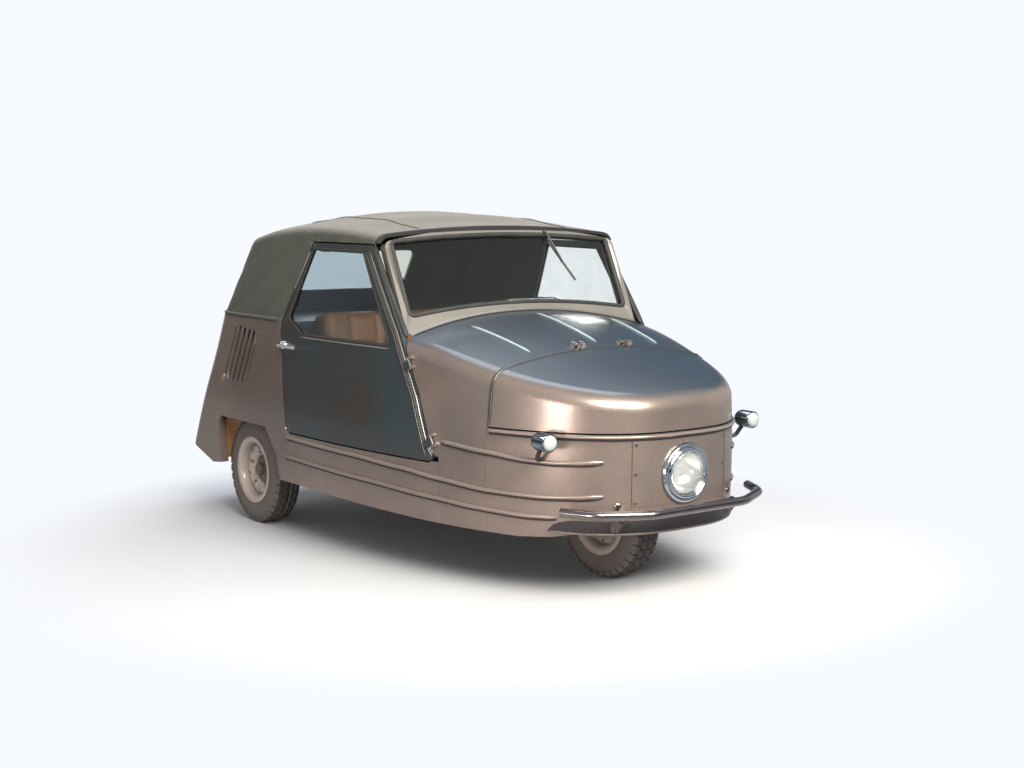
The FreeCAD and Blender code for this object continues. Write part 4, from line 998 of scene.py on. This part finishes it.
def dress_tyre(node):
    """A tyre with a grooved, lugged tread in the place of the plain ring."""
    low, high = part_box(node)
    tyre = turned(node + "_tread", tyre_profile(), TREAD_STEPS, (0, 0, 0))
    edit(tyre, "FACE")
    mesh = bmesh.from_edit_mesh(tyre.data)
    for face in mesh.faces:
        face.select = is_lug(face.calc_center_median())
    bmesh.update_edit_mesh(tyre.data)
    bpy.ops.mesh.extrude_region_shrink_fatten(TRANSFORM_OT_shrink_fatten={"value": LUG_HEIGHT})
    leave_edit()
    tyre.location = (low + high) / 2
    settle(tyre)
    finish_piece(tyre, FINISH["tyre_rubber"], body_of[node], [node], 28)


RIM_FLANGE = [
    (0.0400, 0.1150), (0.0500, 0.1165), (0.0555, 0.1220), (0.0585, 0.1310), (0.0590, 0.1385), (0.0575, 0.1425),
    (0.0545, 0.1420), (0.0535, 0.1340), (0.0490, 0.1250), (0.0400, 0.1200),
]


def wheel_fittings():
    """Five nuts, an air valve and the rolled flanges of each wheel."""
    nut = screw_head(0.0085, 0.011, slotted=False)
    for node, out in (("front_rim", -1), ("rear_rim_right", -1), ("rear_rim_left", 1)):
        low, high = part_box(node)
        centre = (low + high) / 2
        made = []
        for i in range(5):
            turn = math.tau * i / 5 + 0.3
            spot = centre + Vector((0.0755 * math.cos(turn), out * 0.017, 0.0755 * math.sin(turn)))
            made.append(set_on(nut, "nut", spot, (0, out, 0)))
        finish_piece(joined(node + "_nuts", made), FINISH["hub_paint"], body_of[node], angle=40)
        for face, label in ((out, "outer"), (-out, "inner")):
            flange = turned(f"{node}_{label}_flange", [(face * a, r) for a, r in RIM_FLANGE], 72, centre)
            finish_piece(flange, FINISH["rim_paint"], body_of[node], angle=40)
        start = centre + Vector((0.104, out * 0.012, 0))
        end = start + Vector((0.004, out * 0.018, 0))
        bead(node + "_valve", [start, end], 0.0035, SEAL, body_of[node], angle=50)
    bpy.data.objects.remove(nut)


# Lamps


def headlamp():
    """The domed, fluted glass of the headlamp with its reflector, bulb and rolled outer rim."""
    x, z = 1.230, 0.445
    bowl = turned("headlamp_reflector", [
        (0.002, 0.0725), (-0.006, 0.071), (-0.022, 0.066), (-0.040, 0.054), (-0.052, 0.038), (-0.058, 0.012),
        (-0.060, 0.012), (-0.055, 0.039), (-0.042, 0.056), (-0.024, 0.068), (-0.007, 0.0732), (0.002, 0.0732),
    ], 48, (x, 0, z), "X")
    finish_piece(bowl, REFLECTOR, "body", angle=40)
    bpy.ops.object.select_all(action="DESELECT")
    bpy.ops.mesh.primitive_uv_sphere_add(segments=24, ring_count=16, radius=0.013, location=(x - 0.028, 0, z))
    bulb = bpy.context.object
    bulb.name = bulb.data.name = "headlamp_bulb"
    edit(bulb)
    mesh = bmesh.from_edit_mesh(bulb.data)
    for vert in mesh.verts:
        if vert.co.x < -0.004:
            vert.co.y *= 0.6
            vert.co.z *= 0.6
            vert.co.x -= 0.018
    bmesh.update_edit_mesh(bulb.data)
    leave_edit()
    settle(bulb)
    finish_piece(bulb, FINISH["lamp_glass"], "body", angle=60)
    ring = turned("headlamp_ring", [
        (0.0, 0.0885), (0.010, 0.0885), (0.0155, 0.0905), (0.0172, 0.0940), (0.0165, 0.0985), (0.0130, 0.1030),
        (0.0070, 0.1060), (0.0, 0.1068), (-0.0045, 0.1060), (-0.0045, 0.0955), (0.0, 0.0950),
    ], 96, (x - 0.001, 0, z), "X")
    finish_piece(ring, LAMP_CHROME, "body", angle=50)
    dome, reach, depth, steps = 0.150, 0.0735, 0.034, 12
    radii = [max(0.0006, reach * i / steps) for i in range(steps + 1)]
    outer = [(depth - dome + math.sqrt(dome**2 - r**2), r) for r in radii]
    inner = [(a - 0.004, r) for a, r in reversed(outer)]
    lens = turned("headlamp_glass", outer + inner, 64, (x, 0, z), "X")
    finish_piece(lens, HEADLAMP_GLASS, "body", ["headlamp_lens"], 50)


SIDE_LAMP_DOME = [
    (0.0, 0.027), (0.004, 0.0262), (0.008, 0.0235), (0.011, 0.0185), (0.013, 0.0115), (0.0138, 0.0006),
    (0.0100, 0.0006), (0.0092, 0.0100), (0.0075, 0.0165), (0.0045, 0.0215), (0.0, 0.0240),
]


def side_lamp_domes():
    """The domed glass of both side lamps."""
    places = [(1.0822, side * 0.483, 0.572) for side, label in SIDES]
    domes = [turned("side_lamp_dome", SIDE_LAMP_DOME, 32, place, "X") for place in places]
    frosted = glass("frosted_lamp_glass", rgb(0.40, 0.45, 0.46), 0.22, 0.35)
    finish_piece(joined("side_lamp_domes", domes), frosted, "body", ["side_lamp_lenses"], 50)


# Canvas hood


def outer_skin(node, name, seed):
    """The outer side of a thin solid: the faces reached from a seed point without crossing a sharp edge."""
    piece = merged_copy(node, name)
    edit(piece, "FACE")
    mesh = bmesh.from_edit_mesh(piece.data)
    mesh.faces.ensure_lookup_table()
    start = min(mesh.faces, key=lambda face: (face.calc_center_median() - Vector(seed)).length)
    reached, front = {start}, [start]
    while front:
        face = front.pop()
        for edge in face.edges:
            for other in edge.link_faces:
                if other not in reached and face.normal.angle(other.normal, 3.0) < math.radians(38):
                    reached.add(other)
                    front.append(other)
    bmesh.ops.delete(mesh, geom=[face for face in mesh.faces if face not in reached], context="FACES")
    bmesh.update_edit_mesh(piece.data)
    leave_edit()
    return piece


def sliced(piece, axis, low, high, spacing):
    """Cuts a mesh along evenly spaced planes, to give it enough points to shape."""
    edit(piece)
    normal = [0, 0, 0]
    normal[axis] = 1
    count = int((high - low) / spacing)
    for i in range(1, count):
        place = [0, 0, 0]
        place[axis] = low + (high - low) * i / count
        bpy.ops.mesh.select_all(action="SELECT")
        bpy.ops.mesh.bisect(plane_co=place, plane_no=normal)
    leave_edit()


HOOPS = (0.136, -0.120, -0.420, -0.700, -0.93)


def hood_wrinkles(place):
    """How far the canvas sinks below its stretched shape at a point."""
    x, y, z = place
    sag = 0.0
    if z > 1.15:
        for front, back in zip(HOOPS, HOOPS[1:]):
            if back <= x <= front:
                share = (front - x) / (front - back)
                sag = 0.006 * math.sin(math.pi * share) ** 2 * max(0.0, 1 - (abs(y) / 0.52) ** 4)
    ripple = 0.0012 * math.sin(31 * x + 9 * y) * math.sin(17 * y - 12 * x + 1.0)
    ripple += 0.0016 * math.sin(24 * (x + 0.6 * z)) * math.sin(10 * z + 3 * x)
    tight = 0.0022 * max(0.0, math.sin(40 * (z - 0.6 * x))) ** 3 if z < 1.2 else 0.0
    return sag + 0.5 * ripple + tight


def canvas_hood():
    """The hood: one curved sheet, sagging between its hoops, with a hem all round."""
    hood = outer_skin("roof_canvas", "hood_sheet", (-0.3, 0.0, 1.33))
    sliced(hood, 0, -1.10, 0.14, 0.030)
    sliced(hood, 1, -0.62, 0.62, 0.030)
    sliced(hood, 2, 0.87, 1.34, 0.030)
    edit(hood)
    mesh = bmesh.from_edit_mesh(hood.data)
    bmesh.ops.remove_doubles(mesh, verts=mesh.verts, dist=0.0015)
    inner = [vert for vert in mesh.verts if not vert.is_boundary]
    for turn in range(12):
        bmesh.ops.smooth_vert(mesh, verts=inner, factor=0.5, use_axis_x=True, use_axis_y=True, use_axis_z=True)
    mesh.normal_update()
    for vert in inner:
        vert.co -= vert.normal * hood_wrinkles(vert.co)
    bmesh.update_edit_mesh(hood.data)
    leave_edit()
    trims = hood_seams(hood)
    solid = hood.modifiers.new("thick", "SOLIDIFY")
    solid.thickness = 0.003
    solid.offset = -1
    apply_modifiers(hood)
    finish_piece(hood, FINISH["hood_canvas"], "body", ["roof_canvas"], 50)


def hood_seams(hood):
    """Hem tape at the belt, a welt over each side and the frame of the rear window."""
    tree = tree_of(hood.data)
    made = []
    for side, label in SIDES:
        path = []
        for i in range(52):
            x = 0.120 - 0.985 * i / 51
            place, normal = landed(tree, (x, side * 0.36, 1.6), (0, 0, -1))
            if place:
                path.append(place + normal * 0.0008)
        made.append(bead("hood_welt_" + label, path, 0.0032, THREAD, "body", steps=2, taper=2))
    path, middle = [], Vector((-0.52, 0, 0.890))
    for i in range(121):
        turn = math.pi * (i / 120) - math.pi / 2
        away = Vector((-math.cos(turn), math.sin(turn), 0))
        place, normal = landed(tree, middle + away * 1.6, -away)
        if place:
            path.append(place + away * 0.001)
    made.append(bead("hood_hem", path, 0.0062, THREAD, "body", taper=1))
    path = []
    for y, z in rounded_path([(-0.296, 0.966), (-0.296, 1.154), (0.296, 1.154), (0.296, 0.966)], 0.036):
        place, normal = landed(tree, (-2.0, y, z), (1, 0, 0))
        if place:
            path.append(place + Vector((-0.001, 0, 0)))
    made.append(bead("rear_window_frame", path, 0.0075, THREAD, "body", closed=True))
    return made


# Seat


def inflate(piece, voxel, pressure, cap):
    """Swells a closed pad like stuffing under its cover, no point further than the cap."""
    piece.data.remesh_voxel_size = voxel
    only(piece)
    bpy.ops.object.voxel_remesh()
    rest = [vert.co.copy() for vert in piece.data.vertices]
    cloth = piece.modifiers.new("stuffing", "CLOTH")
    cloth.settings.use_pressure = True
    cloth.settings.uniform_pressure_force = pressure
    cloth.settings.effector_weights.gravity = 0.0
    cloth.settings.quality = 3
    scene = bpy.context.scene
    for step in range(1, 21):
        scene.frame_set(step)
    shape = piece.evaluated_get(bpy.context.evaluated_depsgraph_get())
    moved = [vert.co.copy() for vert in shape.data.vertices]
    piece.modifiers.remove(cloth)
    scene.frame_set(1)
    for vert, start, end in zip(piece.data.vertices, rest, moved):
        shift = end - start
        if shift.length > cap:
            shift = shift.normalized() * cap
        vert.co = start + shift


CHANNELS = 8
SEAM_DEPTH = 0.012
SEAM_WIDTH = 0.009


def seat_pad(node, name, rise):
    """A padded seat part with sewn channels on the side that looks along rise."""
    low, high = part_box(node)
    pad = merged_copy(node, name)
    middle = (low + high) / 2
    for vert in pad.data.vertices:
        vert.co = middle + (vert.co - middle) * 0.985
    inflate(pad, 0.009, 4.0, 0.006)
    edit(pad)
    mesh = bmesh.from_edit_mesh(pad.data)
    mesh.normal_update()
    width = high.y - low.y
    for vert in mesh.verts:
        across = vert.co.y - low.y
        offset = (across / width * CHANNELS) % 1.0
        near = min(offset, 1 - offset) * width / CHANNELS
        groove = SEAM_DEPTH * math.exp(-((near / SEAM_WIDTH) ** 2))
        if 0.03 < across < width - 0.03:
            vert.co -= vert.normal * groove * max(0.0, vert.normal.dot(Vector(rise)))
    bmesh.update_edit_mesh(pad.data)
    leave_edit()
    finish_piece(pad, FINISH["seat_cover"], "body", [node], 70)


# Camera, light and floor

CAMERA_PLACE = (5.00336, -3.60362, 1.37794)
CAMERA_TURN = math.radians(52.947)
CAMERA_DOWN = math.radians(6.900)
CAMERA_ROLL = math.radians(0.329)
CAMERA_LENS = 53.27


def add_camera():
    """The camera at the photograph's place, turn and lens."""
    turn, down, roll = CAMERA_TURN, CAMERA_DOWN, CAMERA_ROLL
    ahead = Vector((-math.sin(turn) * math.cos(down), math.cos(turn) * math.cos(down), -math.sin(down)))
    across = Vector((math.cos(turn), math.sin(turn), 0.0))
    above = across.cross(ahead)
    right = across * math.cos(roll) + above * math.sin(roll)
    up = above * math.cos(roll) - across * math.sin(roll)
    data = bpy.data.cameras.new("camera")
    data.lens = CAMERA_LENS
    data.sensor_width = 36.0
    data.clip_end = 100.0
    camera = bpy.data.objects.new("camera", data)
    bpy.context.scene.collection.objects.link(camera)
    camera.matrix_world = Matrix((
        (right.x, up.x, -ahead.x, CAMERA_PLACE[0]),
        (right.y, up.y, -ahead.y, CAMERA_PLACE[1]),
        (right.z, up.z, -ahead.z, CAMERA_PLACE[2]),
        (0, 0, 0, 1),
    ))
    bpy.context.scene.camera = camera


def add_area(name, place, aim, size, power, colour):
    """A soft square lamp that looks at a point."""
    data = bpy.data.lights.new(name, "AREA")
    data.shape = "RECTANGLE"
    data.size, data.size_y = size
    data.energy = power
    data.color = colour
    lamp = bpy.data.objects.new(name, data)
    bpy.context.scene.collection.objects.link(lamp)
    lamp.location = place
    lamp.rotation_euler = (Vector(aim) - Vector(place)).to_track_quat("-Z", "Y").to_euler()
    return lamp


def add_card(name, place, size, colour):
    """A dark card out of view that only shows in what shines."""
    bpy.ops.object.select_all(action="DESELECT")
    bpy.ops.mesh.primitive_plane_add(size=1, location=place)
    card = bpy.context.object
    card.name = name
    card.scale = (*size, 1)
    card.rotation_euler = (Vector((0, 0, 0.7)) - Vector(place)).to_track_quat("Z", "Y").to_euler()
    material, tree, shader = surface(name, Roughness=1.0, Specular_IOR_Level=0.0)
    feed(tree, shader, Base_Color=use(tree, MOTTLE, First=colour, Second=darker(colour, 0.85), Scale=0.6)["Colour"])
    card.data.materials.append(material)
    card.visible_camera = card.visible_diffuse = card.visible_shadow = card.visible_transmission = False


BACKDROP = rgb(0.930, 0.956, 1.0)
SKY_STRENGTH = 0.62
FLOOR_STRENGTH = 0.5


def dimmed(tree, strength):
    """Full strength where the camera looks, straight or through glass, and less for what lights the car."""
    ray = add(tree, "ShaderNodeLightPath").outputs
    seen = maths(tree, "MAXIMUM", ray["Is Camera Ray"], ray["Is Transmission Ray"])
    return ranged(tree, seen, to_low=strength)


def add_studio():
    """A pale floor, a pale world, dark cards and soft lamps."""
    bpy.ops.object.select_all(action="DESELECT")
    bpy.ops.mesh.primitive_plane_add(size=60, location=(0, 0, 0))
    floor = bpy.context.object
    floor.name = "floor"
    material, tree, shader = surface("pale_floor", Roughness=1.0, Specular_IOR_Level=0.0, Emission_Strength=1.0)
    cloud = use(tree, MOTTLE, First=rgb(0.375, 0.385, 0.41), Second=rgb(0.37, 0.38, 0.405), Scale=0.8)
    reach = add(tree, "ShaderNodeVectorMath", {0: place_of(tree)}, operation="LENGTH").outputs["Value"]
    far = ranged(tree, reach, 1.25, 2.1, kind="SMOOTHSTEP")
    glow = maths(tree, "MULTIPLY", far, dimmed(tree, FLOOR_STRENGTH))
    feed(tree, shader, Base_Color=blend(tree, far, cloud["Colour"], BLACK),
         Emission_Color=blend(tree, glow, BLACK, BACKDROP))
    floor.data.materials.append(material)
    world = bpy.data.worlds.new("studio")
    bpy.context.scene.world = world
    world.use_nodes = True
    tree = world.node_tree
    feed(tree, tree.nodes["Background"], Color=BACKDROP, Strength=dimmed(tree, SKY_STRENGTH))
    bpy.context.scene.view_settings.view_transform = "Standard"
    add_card("far_card", (-4.6, 4.3, 3.7), (9.0, 4.2), rgb(0.07, 0.13, 0.22))
    add_card("near_card", (7.6, -5.6, 1.0), (12.0, 1.5), rgb(0.05, 0.055, 0.07))
    add_card("front_card", (7.0, 3.5, 1.3), (6.0, 2.6), rgb(0.10, 0.10, 0.13))
    add_card("flank_card", (-5.2, -4.4, 0.9), (7.0, 3.2), rgb(0.17, 0.13, 0.11))
    add_area("corner", (2.4, -5.0, 0.75), (1.0, -0.4, 0.45), (1.5, 1.0), 130, (1.0, 0.90, 0.80))
    add_area("shoulder", (4.4, -0.9, 3.4), (1.0, -0.1, 0.6), (4.0, 1.8), 860, (1.0, 0.94, 0.82))
    behind = add_area("behind", (-4.6, 3.6, 2.7), (-0.6, 0.2, 0.6), (3.2, 2.0), 150, (1.0, 0.96, 0.92))
    behind.visible_glossy = False
    add_area("top", (-0.8, 0.6, 5.0), (-0.3, 0, 1.2), (3.4, 2.4), 130, (0.92, 0.95, 1.0))


add_camera()
add_studio()
dress_plain_nodes()
smooth_panels()
flank_strips()
nose_beads()
lid_lip()
door_edge_bands()
bonnet_ribs()
door_seals()
screen_seal()
screen_foot()
pillar_seals()
body_screws()
nose_apron()
panel_seams()
louvre_shades()
for tyre_node in TYRES:
    dress_tyre(tyre_node)
wheel_fittings()
headlamp()
side_lamp_domes()
canvas_hood()
seat_pad("seat_cushion", "seat_cushion_pad", (0, 0, 1))
seat_pad("seat_back", "seat_back_pad", (1, 0, 0.15))
